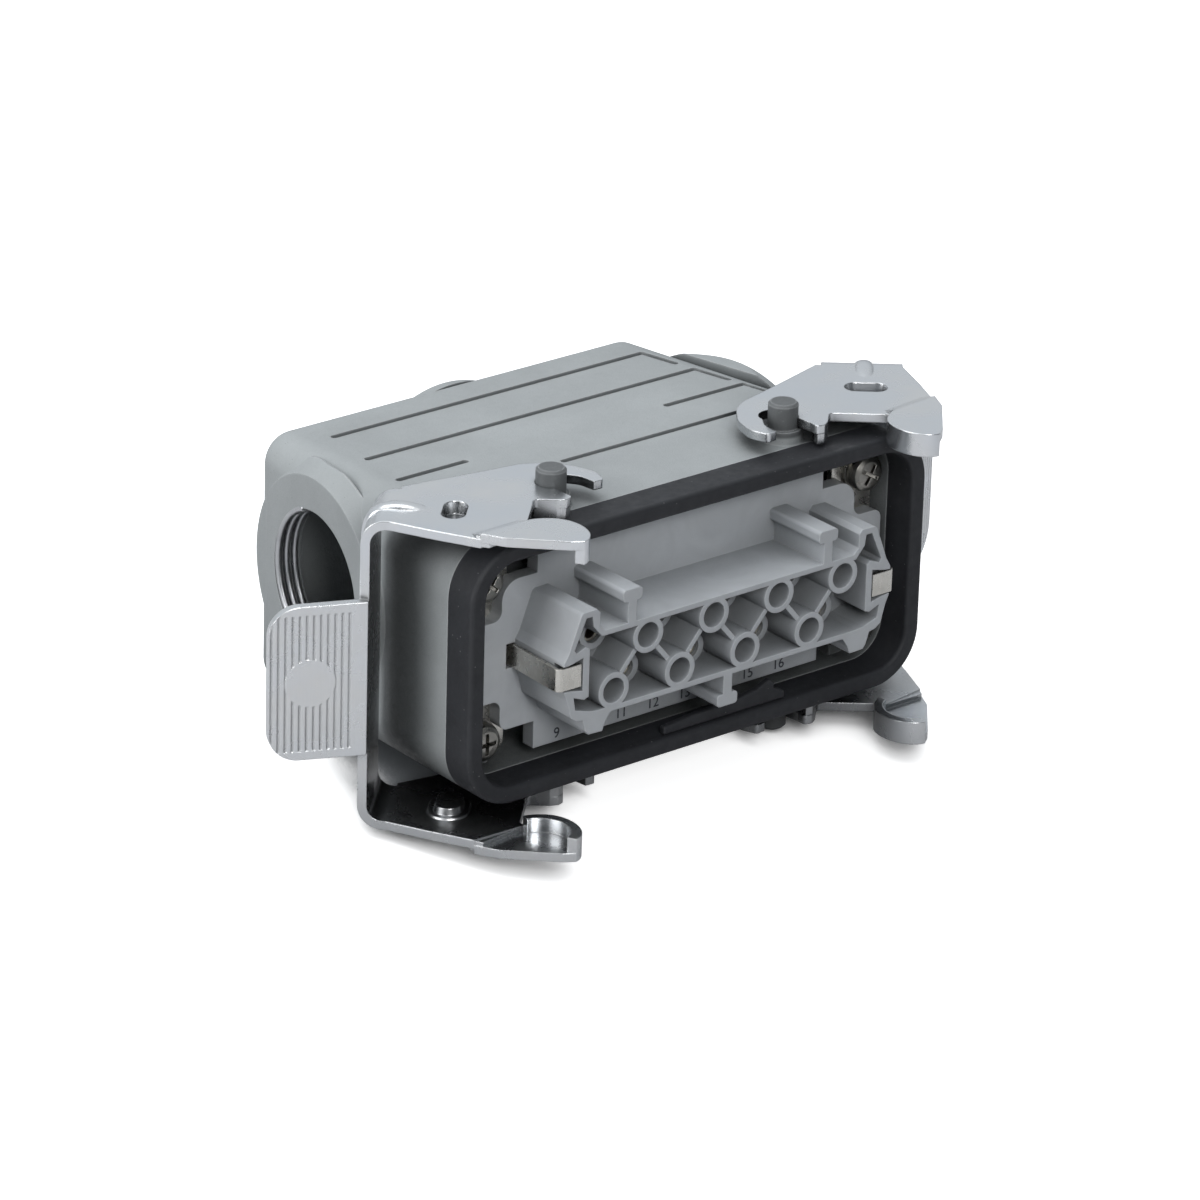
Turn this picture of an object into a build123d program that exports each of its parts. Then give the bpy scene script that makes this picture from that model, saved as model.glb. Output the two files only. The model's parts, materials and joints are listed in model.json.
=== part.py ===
from build123d import *
from math import atan2, cos, degrees, hypot, radians, sin
import os

os.makedirs("parts", exist_ok=True)

# Heavy duty rectangular connector: cable hood with a 16 pole socket insert and two side levers.
# Millimetres. Origin in the middle of the seal's front plane, X along the long side,
# the opening looks to -Y, Z is up with the hood lying on one long side.

# Hood
hood_length = 92.6
hood_height = 43.8
hood_depth = 59.8
rim_corner = 9.0
back_corner = 4.8
back_left = -43.0
back_right = 33.0
back_height = 43.6
wall = 3.0
seal_depth = 6.0
seal_width = 2.9
tongue_out = 1.1
tongue_in = 2.4
tongue_start = 2.6

# Cable entry and the two blank bosses
entry_radius = 12.5
entry_y = 42.4
entry_z = 1.8
entry_x = -44.7
entry_tilt = 6.0
entry_depth = 4.8
entry_collar = 14.4
boss_face = 18.2
boss_base = 20.4
blank_face = 20.0
blank_base = 21.4
right_boss_y = 40.5
right_boss_rise = 1.3
back_boss_face = 17.0
back_boss_base = 18.4
back_boss_rise = 2.4
pad_depth = 18.5

# Locking pegs, which are also the lever pivots
peg_x = 23.6
peg_y = 9.7
peg_radius = 2.45
peg_top = 28.3
collar_radius = 3.6
collar_taper = 10.0
collar_top = 24.0

# Grooves in the long faces
groove_width = 1.2
groove_depth = 0.6
groove_rows = (51.5, 41.0, 31.3, 22.4)

# Insert
pitch = 6.65
columns = 8
row_half = 3.86
face_y = -6.7
tray_floor = 1.0
rim_wall = 0.9
tray_top = 6.9
tray_bottom = -7.3
socket_outer = 3.0
socket_inner = 2.1
short_outer = 2.7
short_front = -1.2
web_front = -6.0
web_width = 0.85
flange_front = 5.6
flange_back = 8.2
rear_end = 21.5
screw_x = 38.75
screw_to_room = 5.4
screw_z = hood_height / 2 - wall - screw_to_room

# Contacts
contact_front = -0.4
contact_radius = 1.6
contact_bore = 1.15
terminal_start = 10.0
terminal_end = 20.5
terminal_half = 2.2
terminal_low = 1.5
terminal_high = 9.0

# Earth plate and strip
plate_thick = 1.2
plate_inner = 33.2
plate_outer = 41.6
strip_thick = 0.6
strip_x = 33.4
strip_front_x = 33.8
strip_low = -1.5
strip_high = 2.3
lip_inner = 29.8
notch_depth = 2.5

# Levers, drawn closed with the pivot at 0,0 and the web on the +X side
sheet = 1.5
arm_inner = 24.6
web_clear = 4.3
web_outer = hood_length / 2 - peg_x + web_clear
web_front_y = -20.0
web_back_y = -6.8
bend_radius = 4.0
joggle = 0.9
lever_drop = 0.35
seat_radius = 2.53
seat_play = 1.4
hook_lip = 2.4
tooth_lip = 1.8
rib_half_width = 1.45
rib_half_height = 0.75
tab_half = 12.9
tab_length = 14.6
tab_angle = -21.0
grip_grooves = 12
dimple_x = 13.3
dimple_y = -13.7
hook_edge = (
    (1.2, -17.6),
    (-1.0, -16.7),
    (-3.3, -16.6),
    (-6.2, -18.0),
    (-8.0, -20.3),
    (-8.6, -22.9),
    (-8.0, -24.7),
)
arm_rounds = (
    (5.6, 6.4, 6.0),
    (2.4, 7.4, 6.0),
    (-2.4, 7.2, 6.0),
    (-6.4, 5.4, 4.0),
    (-8.0, 2.4, 0.7),
    (-4.2, 3.0, 3.0),
    (-3.9, -5.3, 0.6),
    (-3.2, -6.6, 0.6),
    (1.8, -7.4, 0.8),
    (1.8, -17.0, 0.5),
)
left_open = 45.0
right_open = 51.0

back_middle = (back_left + back_right) / 2
back_length = back_right - back_left
left_slope = (back_left + hood_length / 2) / (hood_depth - seal_depth)
right_slope = (hood_length / 2 - back_right) / (hood_depth - seal_depth)
face_drop = (hood_height - back_height) / 2 / (hood_depth - seal_depth)
arm_outer = arm_inner + sheet


def across(y):
    # Plane square to Y at the height y, its own Y is the world's Z
    return Plane.XZ.offset(-y)


def column_x(number):
    return (number - (columns - 1) / 2) * pitch


def long_face(y):
    # Half height of the tapered hood at y
    return hood_height / 2 - face_drop * (y - seal_depth)


# Bosses as cones, cut level with the long faces

entry_axis = Plane(
    origin=(entry_x, entry_y, entry_z),
    x_dir=(sin(radians(entry_tilt)), cos(radians(entry_tilt)), 0),
    z_dir=(-cos(radians(entry_tilt)), sin(radians(entry_tilt)), 0),
)
right_angle = atan2(right_slope, 1)
right_normal = (cos(right_angle), sin(right_angle))
right_side_x = hood_length / 2 - right_slope * (right_boss_y - seal_depth)
right_axis = Plane(
    origin=(
        right_side_x + right_boss_rise * right_normal[0],
        right_boss_y + right_boss_rise * right_normal[1],
        entry_z,
    ),
    x_dir=(-right_normal[1], right_normal[0], 0),
    z_dir=(right_normal[0], right_normal[1], 0),
)
back_axis = Plane(
    origin=(back_middle, hood_depth + back_boss_rise, entry_z),
    x_dir=(1, 0, 0),
    z_dir=(0, 1, 0),
)

with BuildPart() as bosses:
    with BuildSketch(entry_axis) as entry_face:
        Circle(boss_face)
    with BuildSketch(entry_axis.offset(-3.0)) as entry_base:
        Circle(boss_base)
    loft()
    with BuildSketch(right_axis) as right_face:
        Circle(blank_face)
    with BuildSketch(right_axis.offset(-3.0)) as right_base:
        Circle(blank_base)
    loft()
    with BuildSketch(back_axis) as back_face:
        Circle(back_boss_face)
    with BuildSketch(back_axis.offset(-4.0)) as back_base:
        Circle(back_boss_base)
    loft()
    with BuildSketch(Plane.YZ.offset(-60)) as level_band:
        with BuildLine():
            Polyline(
                (seal_depth, long_face(seal_depth)),
                (70, long_face(70)),
                (70, -long_face(70)),
                (seal_depth, -long_face(seal_depth)),
                close=True,
            )
        make_face()
    extrude(amount=120, mode=Mode.INTERSECT)

# Room inside the hood

with BuildPart() as chamber:
    with BuildSketch(across(0)) as mouth:
        RectangleRounded(hood_length - 2 * wall, hood_height - 2 * wall, rim_corner - wall)
    extrude(amount=-seal_depth)
    with BuildSketch(across(seal_depth)) as inner_front:
        RectangleRounded(hood_length - 2 * wall, hood_height - 2 * wall, rim_corner - wall)
    with BuildSketch(across(hood_depth - wall)) as inner_back:
        with Locations((back_middle, 0)):
            RectangleRounded(back_length - 2 * wall, back_height - 2 * wall, back_corner - 2.5)
    loft(ruled=True)
    # Corner pads that carry the insert's fixing screws stay in the metal
    with BuildSketch(across(flange_back + plate_thick)) as pads:
        with GridLocations(2 * (screw_x + 2.2), 2 * (screw_z + 2.4), 2, 2):
            RectangleRounded(11.4, 12.0, 2.5)
    extrude(amount=-pad_depth, mode=Mode.SUBTRACT)

# Hood shell: tapered casting with three bosses, four pegs, grooves and a threaded entry

with BuildPart() as hood_shell:
    with BuildSketch(across(seal_depth)) as rim_outline:
        RectangleRounded(hood_length, hood_height, rim_corner)
    with BuildSketch(across(hood_depth)) as back_outline:
        with Locations((back_middle, 0)):
            RectangleRounded(back_length, back_height, back_corner)
    loft(ruled=True)
    fillet(hood_shell.faces().sort_by(Axis.Y)[-1].edges(), radius=2.8)
    add(bosses.part)
    add(chamber.part, mode=Mode.SUBTRACT)
    # Tongue that holds the seal
    with BuildSketch(across(tongue_start)) as tongue:
        RectangleRounded(
            hood_length - 2 * tongue_out, hood_height - 2 * tongue_out, rim_corner - tongue_out
        )
        RectangleRounded(
            hood_length - 2 * tongue_in,
            hood_height - 2 * tongue_in,
            rim_corner - tongue_in,
            mode=Mode.SUBTRACT,
        )
    extrude(amount=-(seal_depth - tongue_start + 0.5))
    # Pegs and their collars, through both long faces' planes
    for side in (1, -1):
        with BuildSketch(Plane.XY.offset(side * (long_face(peg_y) - 1.0))) as collars:
            with Locations((-peg_x, peg_y), (peg_x, peg_y)):
                Circle(collar_radius)
        extrude(amount=side * (collar_top - long_face(peg_y) + 1.0), taper=collar_taper)
        with BuildSketch(Plane.XY.offset(side * collar_top)) as pegs:
            with Locations((-peg_x, peg_y), (peg_x, peg_y)):
                Circle(peg_radius)
        extrude(amount=side * (peg_top - collar_top))
        chamfer(
            hood_shell.edges().filter_by(GeomType.CIRCLE).group_by(Axis.Z)[-1 if side > 0 else 0],
            length=0.4,
        )
    # Grooves, each turned down along the steep right side
    for side in (1, -1):
        for row, y in enumerate(groove_rows):
            left_end = -34.2 - 0.12 * (groove_rows[0] - y)
            right_end = back_right - 4.2 + right_slope * (groove_rows[0] - y)
            drop = 6.6
            spans = [(left_end, right_end)]
            if row == 2 and side > 0:
                spans = [(left_end, -23.6), (17.6, right_end)]
            if row == 3:
                spans = [(-10.7, right_end)]
            face = Plane.XY.offset(side * (long_face(y) - groove_depth))
            for start, end in spans:
                with BuildSketch(face) as groove:
                    with BuildLine():
                        if end == right_end:
                            Polyline((start, y), (end, y), (end + right_slope * drop, y - drop))
                        else:
                            Line((start, y), (end, y))
                        offset(amount=groove_width / 2, side=Side.BOTH)
                    make_face()
                extrude(amount=side * 3, mode=Mode.SUBTRACT)
    # Entry bore, with a collar inside that gives its wall one depth all round
    with BuildSketch(entry_axis.offset(-2.0)) as entry_ring:
        Circle(entry_collar)
    extrude(amount=-(entry_depth - 2.0))
    with BuildSketch(entry_axis) as entry_bore:
        Circle(entry_radius)
    extrude(amount=-(entry_depth + 1.0), mode=Mode.SUBTRACT)
    # Screw holes for the insert
    with BuildSketch(across(flange_back + plate_thick)) as insert_holes:
        with GridLocations(2 * screw_x, 2 * screw_z, 2, 2):
            Circle(1.7)
    extrude(amount=-10, mode=Mode.SUBTRACT)
hood_shell.part.label = "hood_shell"
export_step(hood_shell.part, "parts/hood_shell.step")

# Rim seal: rubber frame pushed onto the tongue, with a soft front lip

with BuildPart() as rim_seal:
    with BuildSketch(across(0)) as seal_frame:
        RectangleRounded(hood_length, hood_height, rim_corner)
        RectangleRounded(
            hood_length - 2 * seal_width,
            hood_height - 2 * seal_width,
            rim_corner - seal_width,
            mode=Mode.SUBTRACT,
        )
    extrude(amount=-seal_depth)
    fillet(rim_seal.faces().sort_by(Axis.Y)[0].edges(), radius=0.7)
    with BuildSketch(across(tongue_start)) as seal_slot:
        RectangleRounded(
            hood_length - 2 * tongue_out, hood_height - 2 * tongue_out, rim_corner - tongue_out
        )
        RectangleRounded(
            hood_length - 2 * tongue_in,
            hood_height - 2 * tongue_in,
            rim_corner - tongue_in,
            mode=Mode.SUBTRACT,
        )
    extrude(amount=-(seal_depth - tongue_start), mode=Mode.SUBTRACT)
rim_seal.part.label = "rim_seal"
export_step(rim_seal.part, "parts/rim_seal.step")

# Insert body: tray with sockets, key ribs, flange and terminal comb

with BuildPart() as insert_body:
    # Front block with taller ends
    with BuildSketch(across(face_y)) as front_block:
        with BuildLine():
            Polyline(
                (0, tray_top),
                (25.4, tray_top),
                (26.4, tray_top + 1.0),
                (26.4, 10.2),
                (27.1, 10.9),
                (30.0, 10.8),
                (32.4, 4.6),
                (33.3, 3.1),
                (33.3, -1.7),
                (32.6, -3.3),
                (31.7, -6.4),
                (30.6, -7.2),
                (29.4, -7.4),
                (28.7, -9.4),
                (28.2, -10.1),
                (25.4, -10.2),
                (25.0, -9.0),
                (23.9, -7.4),
                (23.5, tray_bottom),
                (0, tray_bottom),
                close=True,
            )
        make_face()
        mirror(about=Plane.YZ)
    extrude(amount=-(flange_front - face_y))
    fillet(
        insert_body.edges().filter_by(Axis.Y).filter_by(lambda e: abs(e.center().Z - 10.8) < 0.05),
        radius=0.8,
    )
    # Key ribs, two on top and one below
    with BuildSketch(across(face_y)) as key_ribs:
        for x in (-3 * pitch, 3 * pitch):
            with Locations((x, tray_top + 1.8)):
                Rectangle(1.7, 4.0)
            with Locations((x, tray_top + 4.6)):
                RectangleRounded(3.8, 2.1, 0.6)
        with Locations((0, tray_bottom - 1.6)):
            Rectangle(1.7, 3.6)
        with Locations((0, tray_bottom - 4.2)):
            RectangleRounded(4.1, 2.1, 0.6)
    extrude(amount=-(flange_front - face_y))
    # Flange with cut back corners
    with BuildSketch(across(flange_front)) as flange:
        with BuildLine():
            Polyline(
                (0, 17.0),
                (29.1, 17.0),
                (29.1, 13.2),
                (36.0, 13.2),
                (36.0, 6.8),
                (41.8, 6.8),
                (41.8, -6.8),
                (36.0, -6.8),
                (36.0, -12.1),
                (29.2, -12.1),
                (29.2, -16.8),
                (0, -16.8),
                close=True,
            )
        make_face()
        mirror(about=Plane.YZ)
    extrude(amount=-(flange_back - flange_front))
    flange_corners = insert_body.edges().filter_by(Axis.Y).filter_by(lambda e: abs(e.center().X) > 35)
    fillet(flange_corners.filter_by(lambda e: e.center().Z < 12), radius=1.6)
    flange_corners = insert_body.edges().filter_by(Axis.Y).filter_by(lambda e: abs(e.center().X) > 35)
    fillet(flange_corners.filter_by(lambda e: e.center().Z > 12), radius=3.4)
    # Rear comb
    with BuildSketch(across(flange_back)) as rear_block:
        Rectangle(61.2, 21.6)
    extrude(amount=-(rear_end - flange_back))
    # Tray, which runs up into the windows of the tall ends and round the strip's notch
    with BuildSketch(across(face_y)) as tray:
        with BuildLine():
            Polyline(
                (0, tray_top - rim_wall),
                (25.9, tray_top - rim_wall),
                (27.6, 8.0),
                (27.9, 9.8),
                (29.1, 9.8),
                (31.3, 4.9),
                (30.9, 4.3),
                (29.1, 5.0),
                (28.3, 4.5),
                (28.3, -3.6),
                (29.2, -3.9),
                (31.3, -3.1),
                (30.9, -5.3),
                (28.0, -6.2),
                (26.6, tray_bottom + rim_wall),
                (0, tray_bottom + rim_wall),
                close=True,
            )
        make_face()
        mirror(about=Plane.YZ)
    extrude(amount=-(tray_floor - face_y), mode=Mode.SUBTRACT)
    # Raised and short sockets, alternating from column to column
    with BuildSketch(across(face_y)) as raised:
        for number in range(columns):
            level = row_half if number % 2 else -row_half
            with Locations((column_x(number), level)):
                Circle(socket_outer)
    extrude(amount=-(tray_floor - face_y + 0.2))
    with BuildSketch(across(short_front)) as short:
        for number in range(columns):
            level = -row_half if number % 2 else row_half
            with Locations((column_x(number), level)):
                Circle(short_outer)
    extrude(amount=-(tray_floor - short_front + 0.2))
    # Zigzag webs from one raised socket to the next
    with BuildSketch(across(web_front)) as webs:
        for number in range(columns - 1):
            tilt = degrees(atan2(2 * row_half, pitch)) * (-1 if number % 2 else 1)
            middle = (column_x(number) + column_x(number + 1)) / 2
            with Locations(Location((middle, 0, 0), (0, 0, tilt))):
                Rectangle(hypot(2 * row_half, pitch), web_width)
    extrude(amount=-(tray_floor - web_front + 0.2))
    # Socket bores
    with BuildSketch(across(face_y)) as raised_bores:
        for number in range(columns):
            level = row_half if number % 2 else -row_half
            with Locations((column_x(number), level)):
                Circle(socket_inner)
    extrude(amount=-(tray_floor - face_y), mode=Mode.SUBTRACT)
    with BuildSketch(across(short_front)) as contact_bores:
        with GridLocations(pitch, 2 * row_half, columns, 2):
            Circle(contact_radius + 0.05)
    extrude(amount=-(terminal_start - short_front), mode=Mode.SUBTRACT)
    # Terminal chambers, open at the back, with a screw access hole each
    with BuildSketch(across(terminal_start)) as terminal_rooms:
        with GridLocations(pitch, terminal_low + terminal_high, columns, 2):
            Rectangle(2 * terminal_half + 0.3, terminal_high - terminal_low + 0.3)
    extrude(amount=-(rear_end - terminal_start), mode=Mode.SUBTRACT)
    with BuildSketch(Plane.XY.offset(-11)) as access_holes:
        with Locations((0, (terminal_start + terminal_end) / 2)):
            with GridLocations(pitch, 1, columns, 1):
                Circle(1.8)
    extrude(amount=3, mode=Mode.SUBTRACT)
    with BuildSketch(Plane.XY.offset(11)) as access_holes_top:
        with Locations((0, (terminal_start + terminal_end) / 2)):
            with GridLocations(pitch, 1, columns, 1):
                Circle(1.8)
    extrude(amount=-3, mode=Mode.SUBTRACT)
    # Dovetail notches at the front and slots in the flange for the earth strips
    with BuildSketch(across(face_y)) as notches:
        with BuildLine():
            Polyline(
                (34.0, strip_high + 0.2),
                (31.9, strip_high + 0.4),
                (29.5, 3.3),
                (29.5, -2.3),
                (31.9, strip_low - 0.3),
                (34.0, strip_low - 0.1),
                close=True,
            )
        make_face()
        mirror(about=Plane.YZ)
    extrude(amount=-notch_depth, mode=Mode.SUBTRACT)
    with BuildSketch(across(flange_front)) as strip_slots:
        with GridLocations(2 * 34.15, 1, 2, 1):
            with Locations((0, (strip_low + strip_high) / 2)):
                Rectangle(1.7, strip_high - strip_low + 0.4)
    extrude(amount=-(flange_back - flange_front), mode=Mode.SUBTRACT)
insert_body.part.label = "insert_body"
export_step(insert_body.part, "parts/insert_body.step")

# Sixteen socket contacts, 1 to 8 in the upper row and 9 to 16 in the lower

for row, side in enumerate((1, -1)):
    for number in range(columns):
        x = column_x(number)
        low = side * terminal_low
        high = side * terminal_high
        with BuildPart() as contact:
            with BuildSketch(across(contact_front)) as tube:
                with Locations((x, side * row_half)):
                    Circle(contact_radius)
            extrude(amount=-(terminal_start - contact_front))
            with BuildSketch(across(terminal_start)) as block:
                with Locations((x, (low + high) / 2)):
                    Rectangle(2 * terminal_half, abs(high - low))
            extrude(amount=-(terminal_end - terminal_start))
            with BuildSketch(across(contact_front)) as tube_bore:
                with Locations((x, side * row_half)):
                    Circle(contact_bore)
            extrude(amount=-8.2, mode=Mode.SUBTRACT)
            with BuildSketch(across(terminal_end)) as wire_hole:
                with Locations((x, side * 3.9)):
                    Circle(1.5)
            extrude(amount=8, mode=Mode.SUBTRACT)
            with BuildSketch(Plane.XY.offset(high)) as clamp_hole:
                with Locations((x, (terminal_start + terminal_end) / 2)):
                    Circle(1.5)
            extrude(amount=-side * 5.0, mode=Mode.SUBTRACT)
        name = f"contact_{row * columns + number + 1:02d}"
        contact.part.label = name
        export_step(contact.part, f"parts/{name}.step")

# Clamp screws of the sixteen terminals, one group

with BuildPart() as clamp_screws:
    for side in (1, -1):
        with BuildSketch(Plane.XY.offset(side * (terminal_high + 0.2))) as clamp_row:
            with Locations((0, (terminal_start + terminal_end) / 2)):
                with GridLocations(pitch, 1, columns, 1):
                    Circle(1.45)
        extrude(amount=-side * 4.4)
clamp_screws.part.label = "clamp_screws"
export_step(clamp_screws.part, "parts/clamp_screws.step")

# Earth plates with the contact strip that wraps round the insert's end, one part a side

for name, side in (("earth_plate_left", -1), ("earth_plate_right", 1)):
    with BuildPart() as earth_plate:
        with BuildSketch(across(flange_back)) as plate:
            with Locations((side * (plate_inner + plate_outer) / 2, 0)):
                RectangleRounded(plate_outer - plate_inner, 33.0, 1.5)
            with Locations((side * screw_x, screw_z), (side * screw_x, -screw_z)):
                Circle(2.1, mode=Mode.SUBTRACT)
        extrude(amount=-plate_thick)
        with BuildSketch(Plane.XY.offset(strip_low)) as strip:
            with BuildLine():
                Polyline(
                    (side * (strip_x + strip_thick), flange_back + plate_thick),
                    (side * (strip_x + strip_thick), flange_front - 1),
                    (side * (strip_front_x + strip_thick), face_y + 0.1),
                    (side * lip_inner, face_y + 0.1),
                    (side * lip_inner, face_y + 0.1 + strip_thick),
                    (side * strip_front_x, face_y + 0.1 + strip_thick),
                    (side * strip_x, flange_front - 1),
                    (side * strip_x, flange_back + plate_thick),
                    close=True,
                )
            make_face()
        extrude(amount=strip_high - strip_low)
        fillet(
            earth_plate.edges().filter_by(Axis.Z).group_by(Axis.Y)[0].sort_by(Axis.X)[
                0 if side < 0 else -1
            ],
            radius=0.9,
        )
    earth_plate.part.label = name
    export_step(earth_plate.part, f"parts/{name}.step")

# Earth terminals behind the plates: a clamp block and its screw on each side

for name, side in (("earth_clamp_left", -1), ("earth_clamp_right", 1)):
    with BuildPart() as earth_clamp:
        with BuildSketch(across(flange_back + plate_thick)) as clamp_base:
            with Locations((side * 36.2, 0)):
                RectangleRounded(5.6, 8.4, 0.8)
        extrude(amount=-7.0)
        with BuildSketch(Plane.XY.offset(-5)) as earth_wire:
            with Locations((side * 36.2, flange_back + plate_thick + 3.0)):
                Circle(1.6)
        extrude(amount=10, mode=Mode.SUBTRACT)
        with BuildSketch(across(flange_back + plate_thick + 7.0)) as earth_thread:
            with Locations((side * 36.2, 0)):
                Circle(1.5)
        extrude(amount=4.5, mode=Mode.SUBTRACT)
    earth_clamp.part.label = name
    export_step(earth_clamp.part, f"parts/{name}.step")

with BuildPart() as earth_screws:
    with BuildSketch(across(flange_back + plate_thick + 3.6)) as earth_shanks:
        with Locations((-36.2, 0), (36.2, 0)):
            Circle(1.45)
    extrude(amount=-4.0)
    with BuildSketch(across(flange_back + plate_thick + 7.1)) as earth_heads:
        with Locations((-36.2, 0), (36.2, 0)):
            Circle(2.6)
    extrude(amount=-1.9)
earth_screws.part.label = "earth_screws"
export_step(earth_screws.part, "parts/earth_screws.step")

# Fixing screws of the insert and their spring washers, one group each

with BuildPart() as spring_washers:
    with BuildSketch(across(flange_back - 0.8)) as washer_rings:
        with GridLocations(2 * screw_x, 2 * screw_z, 2, 2):
            Circle(3.5)
            Circle(2.05, mode=Mode.SUBTRACT)
    extrude(amount=-0.8)
spring_washers.part.label = "spring_washers"
export_step(spring_washers.part, "parts/spring_washers.step")

with BuildPart() as fixing_screws:
    with BuildSketch(across(flange_back - 0.8)) as shanks:
        with GridLocations(2 * screw_x, 2 * screw_z, 2, 2):
            Circle(1.65)
    extrude(amount=-10.5)
    with BuildSketch(across(flange_back - 0.8)) as heads:
        with GridLocations(2 * screw_x, 2 * screw_z, 2, 2):
            Circle(3.2)
    extrude(amount=2.4)
    chamfer(
        fixing_screws.edges().filter_by(GeomType.CIRCLE).group_by(Axis.Y)[0],
        length=0.6,
    )
fixing_screws.part.label = "fixing_screws"
export_step(fixing_screws.part, "parts/fixing_screws.step")

# Lever, drawn once in its closed place for the right side

with BuildPart() as lever_form:
    # Web and both bends as one channel
    with BuildSketch(Plane.XZ.offset(-web_front_y)) as channel:
        with BuildLine() as channel_line:
            FilletPolyline(
                (22.0, arm_outer),
                (web_outer, arm_outer),
                (web_outer, -arm_outer),
                (22.0, -arm_outer),
                radius=bend_radius,
            )
            Line((22.0, -arm_outer), (22.0, -arm_inner))
            FilletPolyline(
                (22.0, -arm_inner),
                (web_outer - sheet, -arm_inner),
                (web_outer - sheet, arm_inner),
                (22.0, arm_inner),
                radius=bend_radius - sheet,
            )
            Line((22.0, arm_inner), (22.0, arm_outer))
        make_face()
    extrude(amount=-(web_back_y - web_front_y))
    # Arms with the jaw round the own peg and the tooth beside it
    for side in (1, -1):
        with BuildSketch(Plane.XY.offset(side * arm_inner)) as arm:
            with BuildLine():
                Polyline(
                    (22.5, web_front_y),
                    (22.5, web_back_y + 1.0),
                    (12.6, 1.2),
                    (5.6, 6.4),
                    (2.4, 7.4),
                    (-2.4, 7.2),
                    (-6.4, 5.4),
                    (-8.0, 2.4),
                    (-6.6, 1.2),
                    (-4.2, 3.0),
                    (-0.8, 3.4),
                    (0, 0),
                    (-0.8, -seat_radius + 0.12),
                    (-2.6, -4.3),
                    (-3.9, -5.3),
                    (-3.2, -6.6),
                    (-1.8, -7.1),
                    (1.8, -7.4),
                    (1.8, -17.0),
                    (0.8, -17.8),
                    (8.0, -24.5),
                    (15.3, -22.4),
                    close=True,
                )
            make_face()
            for x, y, radius in arm_rounds:
                fillet(arm.vertices().sort_by_distance((x, y, 0))[0], radius=radius)
            Circle(seat_radius, mode=Mode.SUBTRACT)
            with Locations((0, seat_play)):
                Circle(seat_radius, mode=Mode.SUBTRACT)
            with Locations((0, seat_play / 2)):
                Rectangle(2 * seat_radius, seat_play, mode=Mode.SUBTRACT)
        extrude(amount=side * sheet)
        # Hook, one step further out than the arm
        with BuildSketch(Plane.XY.offset(side * (arm_inner + joggle))) as hook:
            with BuildLine():
                Spline(*hook_edge)
                Polyline(hook_edge[-1], (-6.0, -25.2), (3.9, -25.5), (8.0, -24.5), hook_edge[0])
            make_face()
        extrude(amount=side * sheet)
        # Step between arm and hook
        with BuildSketch(Plane.XY.offset(side * (arm_inner + 0.2))) as step:
            with BuildLine():
                Polyline((1.3, -18.2), (2.4, -17.9), (8.7, -24.2), (6.6, -24.7), close=True)
            make_face()
        extrude(amount=side * (sheet + 0.2))
        # The hook's outer face runs down to the arm as a slope
        slope_plane = Plane(origin=(1.6, -18.0, 0), x_dir=(0.712, 0.702, 0), z_dir=(0.702, -0.712, 0))
        with BuildSketch(slope_plane) as slope:
            with BuildLine():
                Polyline(
                    (-0.4, side * (arm_outer - 0.3)),
                    (-0.4, side * (arm_outer + joggle)),
                    (0, side * (arm_outer + joggle)),
                    (2.4, side * arm_outer),
                    (2.4, side * (arm_outer - 0.3)),
                    close=True,
                )
            make_face()
        extrude(amount=8.9)
        # Lip turned inward along the hook's slot side and round its tip
        with BuildSketch(Plane.XY.offset(side * (arm_inner + joggle - hook_lip))) as lip:
            with BuildLine():
                Spline(*hook_edge)
                Line(hook_edge[-1], (-6.5, -24.4))
                Spline(
                    (-6.5, -24.4),
                    (-6.9, -22.9),
                    (-6.6, -20.9),
                    (-5.2, -19.1),
                    (-3.0, -18.1),
                    (0.4, -18.6),
                )
                Line((0.4, -18.6), hook_edge[0])
            make_face()
        extrude(amount=side * (hook_lip + 0.2))
        # Lip turned inward along the tooth's edge
        with BuildSketch(Plane.XY.offset(side * (arm_inner - tooth_lip))) as tooth_edge:
            with BuildLine():
                Polyline(
                    (1.8, -7.4),
                    (-1.8, -7.1),
                    (-3.1, -6.6),
                    (-3.7, -5.5),
                    (-2.8, -5.0),
                    (-2.3, -5.8),
                    (-1.5, -6.1),
                    (1.8, -6.3),
                    close=True,
                )
            make_face()
        extrude(amount=side * (tooth_lip + 0.2))
        # Oval pressed inward, with a shallow ring round it
        with BuildSketch(Plane.XY.offset(side * (arm_inner + 0.1))) as dimple_ring:
            with Locations((dimple_x, dimple_y)):
                SlotOverall(9.4, 6.8, rotation=90)
        extrude(amount=-side * 0.45, taper=30)
        with BuildSketch(Plane.XY.offset(side * arm_inner)) as dimple:
            with Locations((dimple_x, dimple_y)):
                SlotOverall(7.4, 4.9, rotation=90)
        extrude(amount=-side * 1.5, taper=14)
        with BuildSketch(Plane.XY.offset(side * arm_outer)) as dimple_hollow:
            with Locations((dimple_x, dimple_y)):
                SlotOverall(7.1, 3.9, rotation=90)
        extrude(amount=-side * 2.0, taper=12, mode=Mode.SUBTRACT)
    # Thumb tab bent outward from the front edge of the web
    with BuildSketch(Plane.XY.offset(-tab_half)) as tab:
        with BuildLine():
            reach = Vector(cos(radians(tab_angle)), sin(radians(tab_angle))) * tab_length
            flat = Vector(-sin(radians(tab_angle)), cos(radians(tab_angle))) * sheet
            root = Vector(web_outer, web_front_y)
            Polyline(
                (web_outer - sheet, web_front_y + 0.5),
                (web_outer, web_front_y + 0.5),
                root,
                root + reach,
                root + reach - flat,
                (web_outer - sheet, web_front_y - 1.05),
                close=True,
            )
        make_face()
    extrude(amount=2 * tab_half)
    fillet(
        lever_form.edges()
        .filter_by(lambda e: e.center().X > 35 and abs(abs(e.center().Z) - tab_half) < 0.01)
        .filter_by(lambda e: e.length < 2),
        radius=5.0,
    )
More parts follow.
